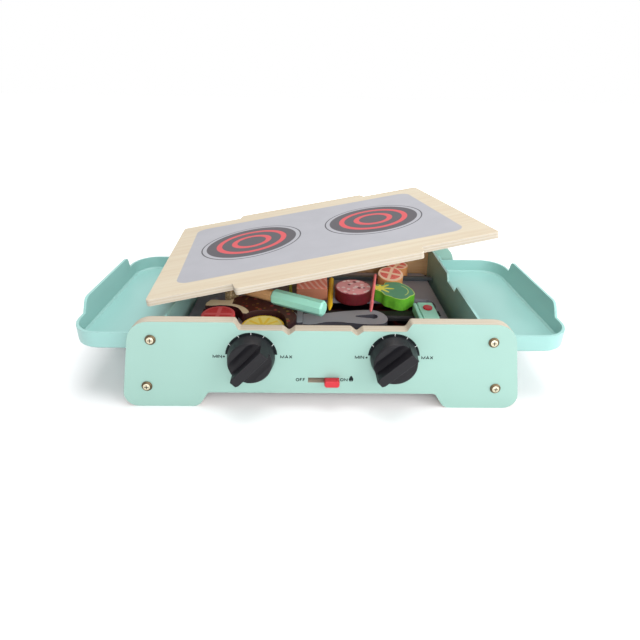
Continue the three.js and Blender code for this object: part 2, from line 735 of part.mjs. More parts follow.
// Outlines as shares of each piece's own length and width, counter-clockwise
const steak_shares = [
  [-0.5, 0.109], [-0.324, 0.125], [-0.206, 0.094], [-0.128, 0.023], [-0.055, -0.156],
  [0.033, -0.062], [0.154, -0.031], [0.277, -0.067], [0.362, -0.188], [0.397, -0.375], [0.415, -0.5],
  [0.468, -0.406], [0.5, -0.234], [0.491, -0.152], [0.394, 0.156], [0.234, 0.406], [0.021, 0.5],
  [-0.17, 0.438], [-0.245, 0.312], [-0.351, 0.297], [-0.465, 0.306],
];
const pepper_shares = [
  [-0.336, -0.093], [-0.282, -0.26], [-0.16, -0.342], [-0.079, -0.423], [0.097, -0.5],
  [0.262, -0.437], [0.361, -0.31], [0.463, -0.244], [0.5, -0.115], [0.454, 0.147], [0.317, 0.373],
  [0.178, 0.5], [-0.028, 0.495], [-0.176, 0.455], [-0.238, 0.312], [-0.352, 0.357], [-0.461, 0.308],
  [-0.5, 0.079],
];
// The spatula's handle, from the ferrule's front corner round the far end to its back corner
const handle_shares = [
  [0, -0.372], [0.12, -0.365], [0.26, -0.215], [0.411, -0.188], [0.56, -0.256], [0.659, -0.311],
  [0.785, -0.338], [0.888, -0.324], [0.962, -0.235], [1, 0], [0.989, 0.304], [0.928, 0.549],
  [0.849, 0.662], [0.689, 0.652], [0.476, 0.556], [0.286, 0.42], [0.126, 0.369], [0, 0.372],
];

// Middles of the foods and tools, measured from the middle of the grill's inside
const steak_place = [-72, -40];
const tomato_place = [-102.5, -50.3];
const lemon_place = [-57, -66.5];
const salmon_place = [-10.1, 25.7];
const salami_place = [36.4, 14.7];
const pepper_place = [80.9, 5.8];
const front_peach_place = [83.3, 49.5];
const rear_peach_place = [97.1, 81.1];
const yellow_stick_place = [11, 17];
const pink_stick_place = [56.4, -3];
const green_stick_place = [-34.5, 26];
const spatula_place = [-18.7, -45.7]; // the ferrule end of the handle
const rod_place = [-49.5, -28]; // where the brush's grip meets its neck
const tongs_place = [109.7, -47.9];
const yellow_stick_turn = THREE.MathUtils.degToRad(-3.5);
const pink_stick_turn = THREE.MathUtils.degToRad(-10);
const green_stick_turn = THREE.MathUtils.degToRad(4);
const rod_turn = THREE.MathUtils.degToRad(-27.5);

function inside([x, y], z = 0) {
  return [x, cavity_middle + y, z];
}

// A round stick along +Y with a point at its near end
function stick(radius, length) {
  const [back, front] = [length / 2, -length / 2];
  return turned([
    [0, front], [radius / 2, front + radius], [radius, front + stick_taper_share * radius], [radius, back], [0, back],
  ], stick_sides);
}

function addFood() {
  const blade_top = food_seat + blade_thickness;
  add('steak', flatPlate(softShape(steak_shares, steak_length, steak_width), steak_thickness),
    material('#5a2a26', 0.55), inside(steak_place, blade_top + seat_gap));
  add('tomato_slice', disc(tomato_radius, tomato_thickness), material('#d8404a', 0.5),
    inside(tomato_place, food_seat));
  add('lemon_slice', disc(lemon_radius, lemon_thickness), material('#f2c93a', 0.5),
    inside(lemon_place, blade_top + seat_gap));
  add('salmon_block', block(-salmon_length / 2, -salmon_width / 2, 0, salmon_length, salmon_width, salmon_thickness),
    material('#c98f73', 0.55), inside(salmon_place, food_seat));
  add('salami_slice', disc(salami_radius, salami_thickness), material('#8c3a48', 0.5),
    inside(salami_place, food_seat));
  add('green_pepper_slice', flatPlate(softShape(pepper_shares, pepper_length, pepper_width), pepper_thickness),
    material('#6fb83a', 0.5), inside(pepper_place, food_seat));
  const leaning = seated(disc(front_peach_radius, peach_thickness).rotateX(front_peach_lean));
  add('front_peach_slice', leaning, material('#f0a98c', 0.5), inside(front_peach_place));
  add('rear_peach_slice', disc(rear_peach_radius, peach_thickness), material('#f0a98c', 0.5),
    inside(rear_peach_place, food_seat));
  add('yellow_skewer', stick(yellow_stick_radius, yellow_stick_length).rotateZ(yellow_stick_turn),
    material('#e8bd2e', 0.5), inside(yellow_stick_place, food_seat + yellow_stick_radius));
  add('pink_skewer', stick(pink_stick_radius, pink_stick_length).rotateZ(pink_stick_turn),
    material('#e5707c', 0.5), inside(pink_stick_place, food_seat + pepper_thickness + seat_gap + pink_stick_radius));
  add('green_skewer', stick(green_stick_radius, green_stick_length).rotateZ(green_stick_turn),
    material('#b9cf4a', 0.5), inside(green_stick_place, food_seat + green_stick_radius));
}

// Bent handle along +X from the ferrule, with a drop-shaped hole near its round far end
function spatulaHandle() {
  const points = handle_shares.map(([x, y]) => new THREE.Vector2(x * spatula_length, y * spatula_width));
  const shape = new THREE.Shape(new THREE.SplineCurve(points).getPoints(outline_steps));
  const end = spatula_length - hole_setback - hole_radius;
  const tip = end + hole_radius - hole_length + hole_tip_radius;
  const hole = new THREE.Path();
  hole.absarc(end, hole_offset, hole_radius, quarter_turn, -quarter_turn, true);
  hole.absarc(tip, hole_offset, hole_tip_radius, -quarter_turn, -3 * quarter_turn, true);
  shape.holes.push(hole);
  return flatPlate(shape, spatula_thickness);
}

// An eight-sided rod along +X with a chamfer at both ends
function octagonRod(radius, length) {
  const rod = turned([
    [0, 0], [radius - rod_chamfer, 0], [radius, rod_chamfer], [radius, length - rod_chamfer],
    [radius - rod_chamfer, length], [0, length],
  ], rod_sides);
  return rod.rotateY(Math.PI / rod_sides).rotateZ(-quarter_turn);
}

function addTools() {
  const [spatula_x, spatula_y] = spatula_place;
  add('spatula_handle', spatulaHandle(), grey_paint, inside(spatula_place, food_seat));
  add('spatula_ferrule', block(-ferrule_length - seat_gap, -ferrule_width / 2, 0,
    ferrule_length, ferrule_width, ferrule_thickness), grey_paint, inside(spatula_place, food_seat));
  const blade_x = spatula_x - ferrule_length - 2 * seat_gap - blade_length / 2;
  add('spatula_blade', flatPlate(roundedShape(rectangle(blade_length, blade_width, blade_radius)), blade_thickness),
    grey_paint, inside([blade_x, spatula_y], food_seat));

  const rod = new THREE.Group();
  const rod_height = food_seat + blade_thickness + seat_gap + steak_thickness + seat_gap + grip_rod_radius;
  rod.position.set(...inside(rod_place, rod_height));
  rod.rotation.z = rod_turn;
  grill.add(rod);
  add('brush_grip', octagonRod(grip_rod_radius, grip_rod_length), mint_paint, [0, 0, 0], rod);
  add('brush_neck', octagonRod(neck_rod_radius, neck_rod_length), bare_wood,
    [-neck_rod_length - seat_gap, 0, 0], rod);
  add('brush_bristles', roundedBlock(bristle_length, bristle_width, bristle_height, bristle_edge),
    material('#b9a27c', 0.8), [-neck_rod_length - 2 * seat_gap - bristle_length / 2, 0, -bristle_height], rod);

  const tongs = roundedBlock(tongs_width, tongs_length, tongs_thickness, tongs_edge);
  add('tongs_wide_arm', tongs, mint_paint, inside(tongs_place, food_seat));
  const side = roundedBlock(tongs_side_width, tongs_length, tongs_thickness - tongs_side_drop, tongs_edge);
  const side_x = -(tongs_width + tongs_side_width) / 2 - seat_gap;
  add('tongs_narrow_arm', side.translate(side_x, 0, 0), mint_paint, inside(tongs_place, food_seat));
  const pivot_y = tongs_length / 2 - pivot_setback;
  add('tongs_pivot', disc(pivot_radius, pivot_height).translate(0, pivot_y, tongs_thickness + seat_gap),
    red_plastic, inside(tongs_place, food_seat));
}

addPanels();
addScrews();
addKnobs();
addSwitch();
addSideTrays();
addInside();
addLid();
addFood();
addTools();

// The origin is on the ground, in the middle of the footprint's box
grill.updateMatrixWorld(true);
const bounds = new THREE.Box3().setFromObject(grill, true);
grill.position.set(-(bounds.min.x + bounds.max.x) / 2, -(bounds.min.y + bounds.max.y) / 2, -bounds.min.z);
grill.updateMatrixWorld(true);

export default grill;
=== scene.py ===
# %% [markdown]
# A toy barbecue grill for a play kitchen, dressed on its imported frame.
# The frame holds every piece at its real size, and this file gives each one its finish.
# Sizes are in millimetres times mm, and places follow the frame's own boxes.

# %% Load the frame
import json
import math
import bmesh
import bpy
from mathutils import Matrix, Vector


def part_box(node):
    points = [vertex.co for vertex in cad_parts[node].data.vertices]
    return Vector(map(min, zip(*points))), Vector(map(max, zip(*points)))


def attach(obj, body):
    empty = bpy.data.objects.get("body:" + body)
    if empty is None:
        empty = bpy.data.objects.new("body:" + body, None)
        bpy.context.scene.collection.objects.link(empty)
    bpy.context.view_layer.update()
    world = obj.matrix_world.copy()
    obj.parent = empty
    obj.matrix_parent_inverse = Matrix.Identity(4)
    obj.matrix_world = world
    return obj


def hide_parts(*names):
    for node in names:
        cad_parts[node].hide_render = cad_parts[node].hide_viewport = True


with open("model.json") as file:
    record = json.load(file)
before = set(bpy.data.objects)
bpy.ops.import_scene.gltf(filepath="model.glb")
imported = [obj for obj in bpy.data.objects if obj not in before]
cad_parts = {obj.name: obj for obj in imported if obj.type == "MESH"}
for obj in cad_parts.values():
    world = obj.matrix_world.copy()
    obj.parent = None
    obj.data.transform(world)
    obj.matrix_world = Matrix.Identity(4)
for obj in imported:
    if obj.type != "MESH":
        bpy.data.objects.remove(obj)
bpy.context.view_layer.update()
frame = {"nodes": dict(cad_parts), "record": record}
mm = 0.001
front_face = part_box("front_panel")[0].y

# %% [markdown]
# The camera stands a little over a third of a metre in front of the grill, at a child's
# standing height over the table. A camera can be placed by eye or solved from known sizes.
# This one was solved from the front panel's corners, screws and dials.

# %% Camera
camera_spot = Vector((-10.684 * mm, front_face - 369.311 * mm, 290.785 * mm))
pitch_down, turn_right, roll = 0.254114, 0.016083, 0.017111  # in radians


def add_object(name, data):
    """A new object in the scene, at the origin and unturned."""
    thing = bpy.data.objects.new(name, data)
    bpy.context.scene.collection.objects.link(thing)
    return thing


camera_data = bpy.data.cameras.new("camera")
camera_data.lens = 26.573
camera_data.sensor_width = 36
camera_data.shift_y = -0.1875
camera_data.clip_start = 10 * mm
camera = add_object("camera", camera_data)
bpy.context.scene.camera = camera

ahead = Vector((
    math.sin(turn_right) * math.cos(pitch_down),
    math.cos(turn_right) * math.cos(pitch_down),
    -math.sin(pitch_down),
))
level_right = Vector((math.cos(turn_right), -math.sin(turn_right), 0))
level_up = level_right.cross(ahead)
right = math.cos(roll) * level_right + math.sin(roll) * level_up
up = math.cos(roll) * level_up - math.sin(roll) * level_right
facing = Matrix((right, up, -ahead)).transposed().to_4x4()
camera.matrix_world = Matrix.Translation(camera_spot) @ facing
print("camera at", [round(v, 4) for v in camera_spot])

# %% [markdown]
# Light, floor and every finish are trees of nodes. Each node could be made and wired line by
# line. A few short helpers do it here, so that a material reads like a sum.

# %% Node helpers
def put(value, socket):
    """Links another socket to this one, or sets a plain value."""
    if isinstance(value, bpy.types.NodeSocket):
        socket.id_data.links.new(value, socket)
    else:
        socket.default_value = value


def put_all(node, inputs):
    for key, value in inputs.items():
        put(value, node.inputs[key])


def new_node(tree, kind, inputs, **settings):
    """A node with its settings, and then its inputs by name or number."""
    node = tree.nodes.new(kind)
    for setting, value in settings.items():
        setattr(node, setting, value)
    put_all(node, inputs)
    return node


def math_node(tree, operation, *values):
    return new_node(tree, "ShaderNodeMath", dict(enumerate(values)), operation=operation).outputs[0]


def vector_math(tree, operation, a, b):
    return new_node(tree, "ShaderNodeVectorMath", {0: a, 1: b}, operation=operation).outputs[0]


def map_range(tree, value, low, high, to_low=0.0, to_high=1.0):
    """Stretches low to high onto to_low to to_high, and goes no further."""
    ends = {"From Min": low, "From Max": high, "To Min": to_low, "To Max": to_high}
    return new_node(tree, "ShaderNodeMapRange", {"Value": value, **ends}).outputs["Result"]


def mix_colour(tree, factor, a, b):
    inputs = {"Factor": factor, "A": a, "B": b}
    return new_node(tree, "ShaderNodeMix", inputs, data_type="RGBA").outputs["Result"]


def noise(tree, vector, scale, detail=2.0, roughness=0.5, output="Fac"):
    inputs = {"Vector": vector, "Scale": scale, "Detail": detail, "Roughness": roughness}
    return new_node(tree, "ShaderNodeTexNoise", inputs).outputs[output]


def split(tree, vector):
    return new_node(tree, "ShaderNodeSeparateXYZ", {0: vector}).outputs


def reach_of(tree, x, y):
    """The distance of a point (x, y) from the middle."""
    squares = [math_node(tree, "POWER", side, 2.0) for side in (x, y)]
    return math_node(tree, "SQRT", math_node(tree, "ADD", *squares))


def new_material(name):
    material = bpy.data.materials.new(name)
    material.use_nodes = True
    return material, material.node_tree, material.node_tree.nodes["Principled BSDF"]


def rgb(red, green, blue):
    """A screen colour, 0 to 255, as Blender's linear colour."""
    linear = [
        ((v / 255 + 0.055) / 1.055) ** 2.4 if v > 10 else v / 255 / 12.92
        for v in (red, green, blue)
    ]
    return (*linear, 1.0)


print("white is", rgb(255, 255, 255))

# %% [markdown]
# A studio sweep could be a curved backdrop. A plain floor with a white world is simpler here,
# because the photograph's ground is white and holds only soft shadows. The camera, mirrors and
# clear things see the world at full white, and the object is lit by a weaker one.

# %% World, floor and lamps
floor_colour = (0.88, 0.88, 0.89, 1)


def seen_directly(tree):
    """1 where the camera, a mirror or clear glass looks, else 0."""
    ray = tree.nodes.new("ShaderNodeLightPath").outputs
    seen = math_node(tree, "MAXIMUM", ray["Is Camera Ray"], ray["Is Glossy Ray"])
    return math_node(tree, "MAXIMUM", seen, ray["Is Transmission Ray"])


def make_world(light_strength):
    world = bpy.data.worlds.new("studio")
    bpy.context.scene.world = world
    world.use_nodes = True
    tree = world.node_tree
    strength = map_range(tree, seen_directly(tree), 0.0, 1.0, light_strength, 1.0)
    put_all(tree.nodes["Background"], {"Color": (1, 1, 1, 1), "Strength": strength})


def make_floor(half_width, lift, fade_from, fade_to):
    """A pale floor that keeps the grill's shadow near it and turns white further out."""
    mesh = bpy.data.meshes.new("floor")
    corners = [(-1, -1), (1, -1), (1, 1), (-1, 1)]
    mesh.from_pydata([(x * half_width, y * half_width, 0) for x, y in corners], [], [(0, 1, 2, 3)])
    floor = add_object("floor", mesh)
    material, tree, shader = new_material("floor")
    put_all(shader, {"Base Color": floor_colour, "Roughness": 0.9, "Specular IOR Level": 0.0})
    where = tree.nodes.new("ShaderNodeTexCoord").outputs["Object"]
    reach = new_node(tree, "ShaderNodeVectorMath", {0: where}, operation="LENGTH").outputs["Value"]
    fade = map_range(tree, reach, fade_from, fade_to, lift, 1.0)
    strength = math_node(tree, "MULTIPLY", seen_directly(tree), fade)
    glow = new_node(tree, "ShaderNodeEmission", {"Strength": strength})
    total = new_node(tree, "ShaderNodeAddShader", {0: shader.outputs[0], 1: glow.outputs[0]})
    put(total.outputs[0], tree.nodes["Material Output"].inputs["Surface"])
    mesh.materials.append(material)


def add_lamp(name, place, aim, size, power):
    data = bpy.data.lights.new(name, "AREA")
    data.size = size
    data.energy = power
    turn = (Vector(aim) - Vector(place)).to_track_quat("-Z", "Y").to_matrix().to_4x4()
    add_object(name, data).matrix_world = Matrix.Translation(place) @ turn


# Widths, places and sizes are in metres here, and power is in watts
make_world(light_strength=0.42)
make_floor(half_width=6, lift=0.08, fade_from=0.32, fade_to=0.7)
add_lamp("key", place=(1.15, -0.95, 0.75), aim=(0, -0.03, 0.06), size=0.8, power=10)
add_lamp("front fill", place=(0.1, -1.3, 0.6), aim=(0, 0, 0.07), size=0.8, power=11)
add_lamp("top", place=(0.1, 0.2, 1.6), aim=(0, 0, 0.05), size=1.2, power=22)
add_lamp("low right", place=(1.2, -0.35, 0.36), aim=(0, -0.03, 0.06), size=0.5, power=4)
bpy.context.scene.view_settings.view_transform = "Standard"
print("stage made with", len(bpy.data.lights), "lamps")

# %% [markdown]
# Most pieces are cut from plywood or moulded, so their edges are slightly rounded.
# A bevel could be modelled in the frame, but it would cost many faces there. Here each shown
# piece is a merged copy of its CAD solid with a small bevel, and it replaces that solid.

# %% Helpers that copy and finish a solid
# A face looks along an axis where its normal has at least this share of it
facing_share = 0.9
bodies = frame["record"]["behaviour"]["bodies"]
node_body = {node: body for body, nodes in bodies.items() for node in nodes}
bevel_steps = 2
merge_within = 0.002 * mm
flat_within = math.radians(0.5)


def middle_of(node):
    low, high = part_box(node)
    return (low + high) / 2


def merged_mesh(node):
    """A copy of a CAD node's mesh, its loose triangles joined into flat faces."""
    work = bmesh.new()
    work.from_mesh(frame["nodes"][node].data)
    bmesh.ops.remove_doubles(work, verts=work.verts, dist=merge_within)
    bmesh.ops.dissolve_limit(work, angle_limit=flat_within, verts=work.verts, edges=work.edges)
    mesh = bpy.data.meshes.new(node + "_shape")
    work.to_mesh(mesh)
    work.free()
    return mesh


def make_object(name, mesh, *materials):
    piece = add_object(name, mesh)
    mesh.materials.clear()
    for material in materials:
        mesh.materials.append(material)
    return piece


def bake_modifiers(piece):
    """Turns a piece and its modifiers into one plain mesh."""
    depsgraph = bpy.context.evaluated_depsgraph_get()
    mesh = bpy.data.meshes.new_from_object(piece.evaluated_get(depsgraph))
    piece.modifiers.clear()
    piece.data = mesh


def round_edges(piece, width, over_degrees):
    """Bevels each edge that turns by more than an angle, and shades the rest smooth."""
    for face in piece.data.polygons:
        face.use_smooth = True
    bevel = piece.modifiers.new("rounded edges", "BEVEL")
    bevel.width = width
    bevel.segments = bevel_steps
    bevel.limit_method = "ANGLE"
    bevel.angle_limit = math.radians(over_degrees)
    bevel.use_clamp_overlap = True
    bevel.miter_outer = "MITER_SHARP"
    weighted = piece.modifiers.new("flat faces keep their normals", "WEIGHTED_NORMAL")
    weighted.mode = "FACE_AREA"
    weighted.weight = 100
    weighted.keep_sharp = True
    bake_modifiers(piece)


def cut_along(planes):
    """Gives a step that cuts faces along planes, each a point and a normal."""
    def cut(work):
        for point, normal in planes:
            everything = work.verts[:] + work.edges[:] + work.faces[:]
            bmesh.ops.bisect_plane(work, geom=everything, plane_co=point, plane_no=normal)
    return cut


def board_side(face, outward):
    """0 for a board's outer face, 1 for its edge and 2 for its inner face."""
    facing = face.normal.dot(outward)
    return 0 if facing > facing_share else 2 if facing < -facing_share else 1


def dress(node, name, slot, width, *materials, shape=None, choose=None, over_degrees=25):
    """A finished copy that stands for a CAD node, on the node's own body.

    shape(work) edits the open mesh, and choose(face) gives the index of a face's material.
    """
    piece = make_object(name, merged_mesh(node), *materials)
    if shape:
        work = bmesh.new()
        work.from_mesh(piece.data)
        shape(work)
        work.to_mesh(piece.data)
        work.free()
    if choose:
        for face in piece.data.polygons:
            face.material_index = choose(face)
    if width:
        round_edges(piece, width, over_degrees)
    else:
        piece.data.set_sharp_from_angle(angle=math.radians(over_degrees))
    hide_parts(node)
    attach(piece, node_body[node])
    return piece


print("helpers ready for", len(node_body), "nodes")

# %% [markdown]
# Paint, plywood and moulded plastic share a few effects: long wood grain, the layers of a
# plywood edge, and a fine uneven skin. Each one could be drawn again in every material.
# A node group with named inputs keeps one copy, and every material gives it its own values.

# %% Shared effects as node groups
def new_group(name, inputs, outputs):
    """A group whose inputs are a vector for None, a colour for a tuple, else a number."""
    tree = bpy.data.node_groups.new(name, "ShaderNodeTree")
    for title, value in inputs.items():
        kind = "Vector" if value is None else "Color" if isinstance(value, tuple) else "Float"
        socket = tree.interface.new_socket(title, in_out="INPUT", socket_type="NodeSocket" + kind)
        if value is not None:
            socket.default_value = value
    for title in outputs:
        kind = "Color" if title == "Color" else "Float"
        tree.interface.new_socket(title, in_out="OUTPUT", socket_type="NodeSocket" + kind)
    source = tree.nodes.new("NodeGroupInput")
    target = tree.nodes.new("NodeGroupOutput")
    return tree, source.outputs, target.inputs


# Each layer of the grain: how often it repeats in a metre along and across the board, its
# detail and roughness, and its share of the whole
grain_layers = {
    "streaks": (9, 170, 4.0, 0.6, 0.5),
    "pores": (60, 1400, 2.0, 0.5, 0.2),
    "bands": (3, 22, 2.0, 0.5, 0.3),
}


def build_wood_grain():
    """Long streaks along X of the vector, with pores and slow bands."""
    inputs = {"Vector": None, "Light": rgb(238, 214, 178), "Dark": rgb(214, 178, 134),
              "Strength": 0.6}
    tree, given, result = new_group("wood_grain", inputs, ("Color", "Height"))
    total = 0.0
    for along, across, detail, roughness, share in grain_layers.values():
        stretched = vector_math(tree, "MULTIPLY", given["Vector"], (along, across, across))
        layer = noise(tree, stretched, 1.0, detail, roughness)
        total = math_node(tree, "MULTIPLY_ADD", layer, share, total)
    tint = math_node(tree, "MULTIPLY", map_range(tree, total, 0.38, 0.62), given["Strength"])
    put(mix_colour(tree, tint, given["Light"], given["Dark"]), result["Color"])
    put(total, result["Height"])
    return tree


wander_scale, wander_depth = 40.0, 0.35 * mm
fibre_scale, drift_scale = 900.0, 14.0


def build_ply_layers():
    """Alternate pale and darker layers across a board's thickness."""
    inputs = {"Vector": None, "Depth": 0.0, "Layer": 1.4 * mm, "Pale": rgb(182, 174, 160),
              "Deep": rgb(172, 159, 139)}
    tree, given, result = new_group("ply_layers", inputs, ("Color", "Height"))
    wander = noise(tree, given["Vector"], wander_scale)
    depth = math_node(tree, "MULTIPLY_ADD", wander, wander_depth, given["Depth"])
    phase = math_node(tree, "DIVIDE", depth, given["Layer"])
    wave = math_node(tree, "SINE", math_node(tree, "MULTIPLY", phase, math.pi))
    band = map_range(tree, wave, -0.35, 0.35)
    fibres = noise(tree, given["Vector"], fibre_scale)
    tint = math_node(tree, "MULTIPLY", band, map_range(tree, fibres, 0.3, 0.7, 0.55, 1.0))
    put(mix_colour(tree, tint, given["Pale"], given["Deep"]), result["Color"])
    put(math_node(tree, "ADD", band, fibres), result["Height"])
    return tree


def build_uneven_skin():
    """A colour that drifts slightly over the surface, and a fine bump under it."""
    inputs = {"Vector": None, "Color": (0.5, 0.5, 0.5, 1.0), "Drift": 0.06,
              "Grain scale": 900.0, "Roughness": 0.4}
    tree, given, result = new_group("uneven_skin", inputs, ("Color", "Roughness", "Height"))
    slow = noise(tree, given["Vector"], drift_scale, 3.0)
    slow = map_range(tree, slow, 0.3, 0.7, -1.0, 1.0)
    fine = noise(tree, given["Vector"], given["Grain scale"])
    brightness = math_node(tree, "MULTIPLY_ADD", slow, given["Drift"], 1.0)
    drifted = new_node(tree, "ShaderNodeVectorMath", {0: given["Color"], "Scale": brightness},
                       operation="SCALE")
    put(drifted.outputs[0], result["Color"])
    put(math_node(tree, "MULTIPLY_ADD", fine, 0.12, given["Roughness"]), result["Roughness"])
    put(fine, result["Height"])
    return tree


wood_grain, ply_layers, uneven_skin = build_wood_grain(), build_ply_layers(), build_uneven_skin()
print("node groups", wood_grain.name, ply_layers.name, uneven_skin.name)

# %% [markdown]
# Paint and plastic differ mostly in colour, shine and how fine their skin is. Each could have
# a tree of its own. One function for each kind of surface makes them all, and gives the
# shader its colour, roughness and bump in the same way.

# %% Materials that use the shared effects
bump_distance = 0.1 * mm


def use_group(tree, group, **values):
    inputs = {title.replace("_", " "): value for title, value in values.items()}
    return new_node(tree, "ShaderNodeGroup", inputs, node_tree=group).outputs


def object_place(tree, centre=(0, 0, 0), turn=0.0):
    """Object coordinates, centred and turned about Z for a pattern."""
    where = tree.nodes.new("ShaderNodeTexCoord").outputs["Object"]
    inputs = {"Vector": where, "Location": centre, "Rotation": (0, 0, turn)}
    return new_node(tree, "ShaderNodeMapping", inputs, vector_type="TEXTURE").outputs[0]


def finish_shader(shader, colour, roughness, height, bump, specular=0.5):
    """Gives a shader its colour, its roughness, its shine and a bump from a height."""
    bumped = new_node(shader.id_data, "ShaderNodeBump", {
        "Strength": bump, "Distance": bump_distance, "Height": height,
    })
    put_all(shader, {"Base Color": colour, "Roughness": roughness,
                     "Specular IOR Level": specular, "Normal": bumped.outputs[0]})


def skin_material(name, colour, roughness, drift=0.05, grain_scale=900.0, bump=0.15,
                  specular=0.5, metallic=0.0, centre=(0, 0, 0)):
    material, tree, shader = new_material(name)
    skin = use_group(tree, uneven_skin, Vector=object_place(tree, centre), Color=colour,
                     Drift=drift, Grain_scale=grain_scale, Roughness=roughness)
    finish_shader(shader, skin["Color"], skin["Roughness"], skin["Height"], bump, specular)
    put(metallic, shader.inputs["Metallic"])
    return material


def paint(name, red, green, blue):
    """The paint of a food's side or of a stick."""
    return skin_material(name, rgb(red, green, blue), 0.45, 0.06, 500.0)


def ply_edge_material(name, layer, place_in, axis, depth_from=0.0, specular=0.3):
    """Bare edge of a board, with its layers along one axis from a depth."""
    material, tree, shader = new_material(name)
    place = place_in(tree)
    depth = math_node(tree, "SUBTRACT", split(tree, place)[axis], depth_from)
    layers = use_group(tree, ply_layers, Vector=place, Depth=depth, Layer=layer)
    finish_shader(shader, layers["Color"], 0.6, layers["Height"], 0.25, specular)
    return material


def wood_material(name, light, dark, strength=0.6, turn=0.0):
    material, tree, shader = new_material(name)
    grain = use_group(tree, wood_grain, Vector=object_place(tree, turn=turn), Light=light,
                      Dark=dark, Strength=strength)
    finish_shader(shader, grain["Color"], 0.55, grain["Height"], 0.2, 0.35)
    return material


# After its name and colour, a skin has its roughness, drift, grain scale, bump and shine
mint = skin_material("mint_paint", rgb(144, 179, 169), 0.42, 0.02, 260.0, 0.08)
mint_moulded = skin_material("mint_plastic", rgb(141, 185, 180), 0.3, 0.015, bump=0.05)
tool_mint = skin_material("tool_paint", rgb(164, 234, 214), 0.42, 0.03, 260.0, 0.08)
bare_face = wood_material("bare_ply_face", rgb(206, 168, 126), rgb(176, 134, 92))
knob_black = skin_material("knob_plastic", rgb(20, 19, 23), 0.36, 0.1, 1600.0, 0.3, 0.25)
red_gloss = skin_material("red_plastic", rgb(186, 22, 38), 0.28, bump=0.05)
board_black = skin_material("black_board", rgb(22, 20, 24), 0.6, 0.15, 500.0, 0.3)
grate_grey = skin_material("grate_paint", rgb(128, 128, 140), 0.45, 0.05, 400.0, 0.2)
dark_grey = skin_material("dark_grey_paint", rgb(66, 74, 78), 0.45, 0.08, 400.0, 0.2)
metal = {"drift": 0.12, "grain_scale": 1500.0, "bump": 0.2, "metallic": 1.0}
screw_steel = skin_material("screw_steel", rgb(214, 204, 178), 0.34, **metal)
cup_brass = skin_material("cup_brass", rgb(104, 90, 70), 0.36, **metal)
spatula_grey = skin_material("spatula_paint", rgb(150, 154, 162), 0.42, 0.05, 400.0)
# The spatula's sides get a darker grey than its top: painted shade.
spatula_painted_shade = skin_material("spatula_sides_painted_shade", rgb(70, 70, 78), 0.5, 0.08, 400.0, 0.2)
# Painted shade for the inside of the screws' cross recesses
recess_painted_shade = skin_material("screw_recess_painted_shade", rgb(38, 34, 32), 0.6, 0.1, 1500.0, 0.2)
print("materials", len(bpy.data.materials))

# %% [markdown]
# The two panels are 10 mm birch plywood, painted mint on the outer face only. A painted face
# could be a mask on its normal, but each face of the solid is flat, so it simply gets its own
# material: paint outside, layered edges round it and bare wood inside.

# %% Front and rear panels
wall_outer = 141.5 * mm
panel_layer = 10 * mm / 7
wall_lines = [((side * wall_outer, 0, 0), (1, 0, 0)) for side in (-1, 1)]


def panel_chooser(outward):
    """0 for paint, 1 for the layered edge, 2 for the bare inner face between the walls."""
    def choose(face):
        side = board_side(face, outward)
        return 0 if side == 2 and abs(face.center.x) > wall_outer else side
    return choose


for panel, outward in (("front_panel", (0, -1, 0)), ("rear_panel", (0, 1, 0))):
    panel_edge = ply_edge_material(panel + "_edge", panel_layer, object_place, "Y",
                                   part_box(panel)[0].y)
    board = dress(panel, panel + "_board", "ply_mint", 0.45 * mm, mint, panel_edge, bare_face,
                  shape=cut_along(wall_lines), choose=panel_chooser(outward))
    print(panel, len(board.data.polygons), "faces")

# %% [markdown]
# Each side is one thin moulding: a wall, a tray with a raised flap and the screw bosses.
# Moulded plastic could be a single flat colour, but a slight drift and a fine skin look right.

# %% Side walls with their trays
for side in ("left", "right"):
    moulding = dress(f"{side}_side_tray", f"{side}_tray_moulding", "mint_plastic", 0.5 * mm,
                     mint_moulded, over_degrees=32)
    print(moulding.name, len(moulding.data.polygons), "faces")

# %% [markdown]
# The lid is a plywood stove top with a grey print and two burners. The print could be thin
# geometry, but real ink has no thickness, so it is drawn in the material from rings and a
# rounded rectangle. The lid lies askew, so its mesh carries its own flat coordinates.

# %% Lid coordinates and print
lid_node = "stove_top_lid"
lid_layer = 6.5 * mm / 5
print_size = (290 * mm, 196 * mm)
print_radius = 14 * mm
print_softness = 0.25 * mm
ink_scale = 30.0
burner_spacing = 144.8 * mm
burner_disc = 51.9 * mm
# The outer line and the two red rings of a burner: radius and half width
burner_line = (57.1 * mm, 0.75 * mm)
burner_rings = ((37.4 * mm, 3.1 * mm), (19.8 * mm, 3.2 * mm))


def flat_frame(mesh):
    """A tilted board's axes along, across and out of its widest face, and its middle."""
    face = max(mesh.polygons, key=lambda f: f.area if f.normal.z > 0 else 0)
    normal = face.normal.copy()
    corners = [mesh.vertices[i].co for i in face.vertices]
    pairs = zip(corners, corners[1:] + corners[:1])
    longest = max(pairs, key=lambda pair: (pair[1] - pair[0]).length)
    along = (longest[1] - longest[0]).normalized()
    if along.x < 0:
        along = -along
    if abs(along.x) < abs(along.y):  # the longest edge is an end of the board
        along = along.cross(normal)
    across = normal.cross(along)
    spans = [[corner.dot(axis) for corner in corners] for axis in (along, across)]
    middle = [(min(span) + max(span)) / 2 for span in spans]
    centre = along * middle[0] + across * middle[1] + normal * corners[0].dot(normal)
    return (along, across, normal), centre


lid_axes, lid_centre = flat_frame(merged_mesh(lid_node))


def store_lid_place(work):
    """Writes each point's place along, across and above the lid's middle into the mesh."""
    layer = work.verts.layers.float_vector.new("lid_place")
    for vertex in work.verts:
        vertex[layer] = [(vertex.co - lid_centre).dot(axis) for axis in lid_axes]


def lid_place(tree):
    return new_node(tree, "ShaderNodeAttribute", {}, attribute_name="lid_place").outputs["Vector"]


def disc_mask(tree, distance, radius):
    """1 within a radius, fading over the softness at its edge."""
    return map_range(tree, distance, radius + print_softness, radius - print_softness)


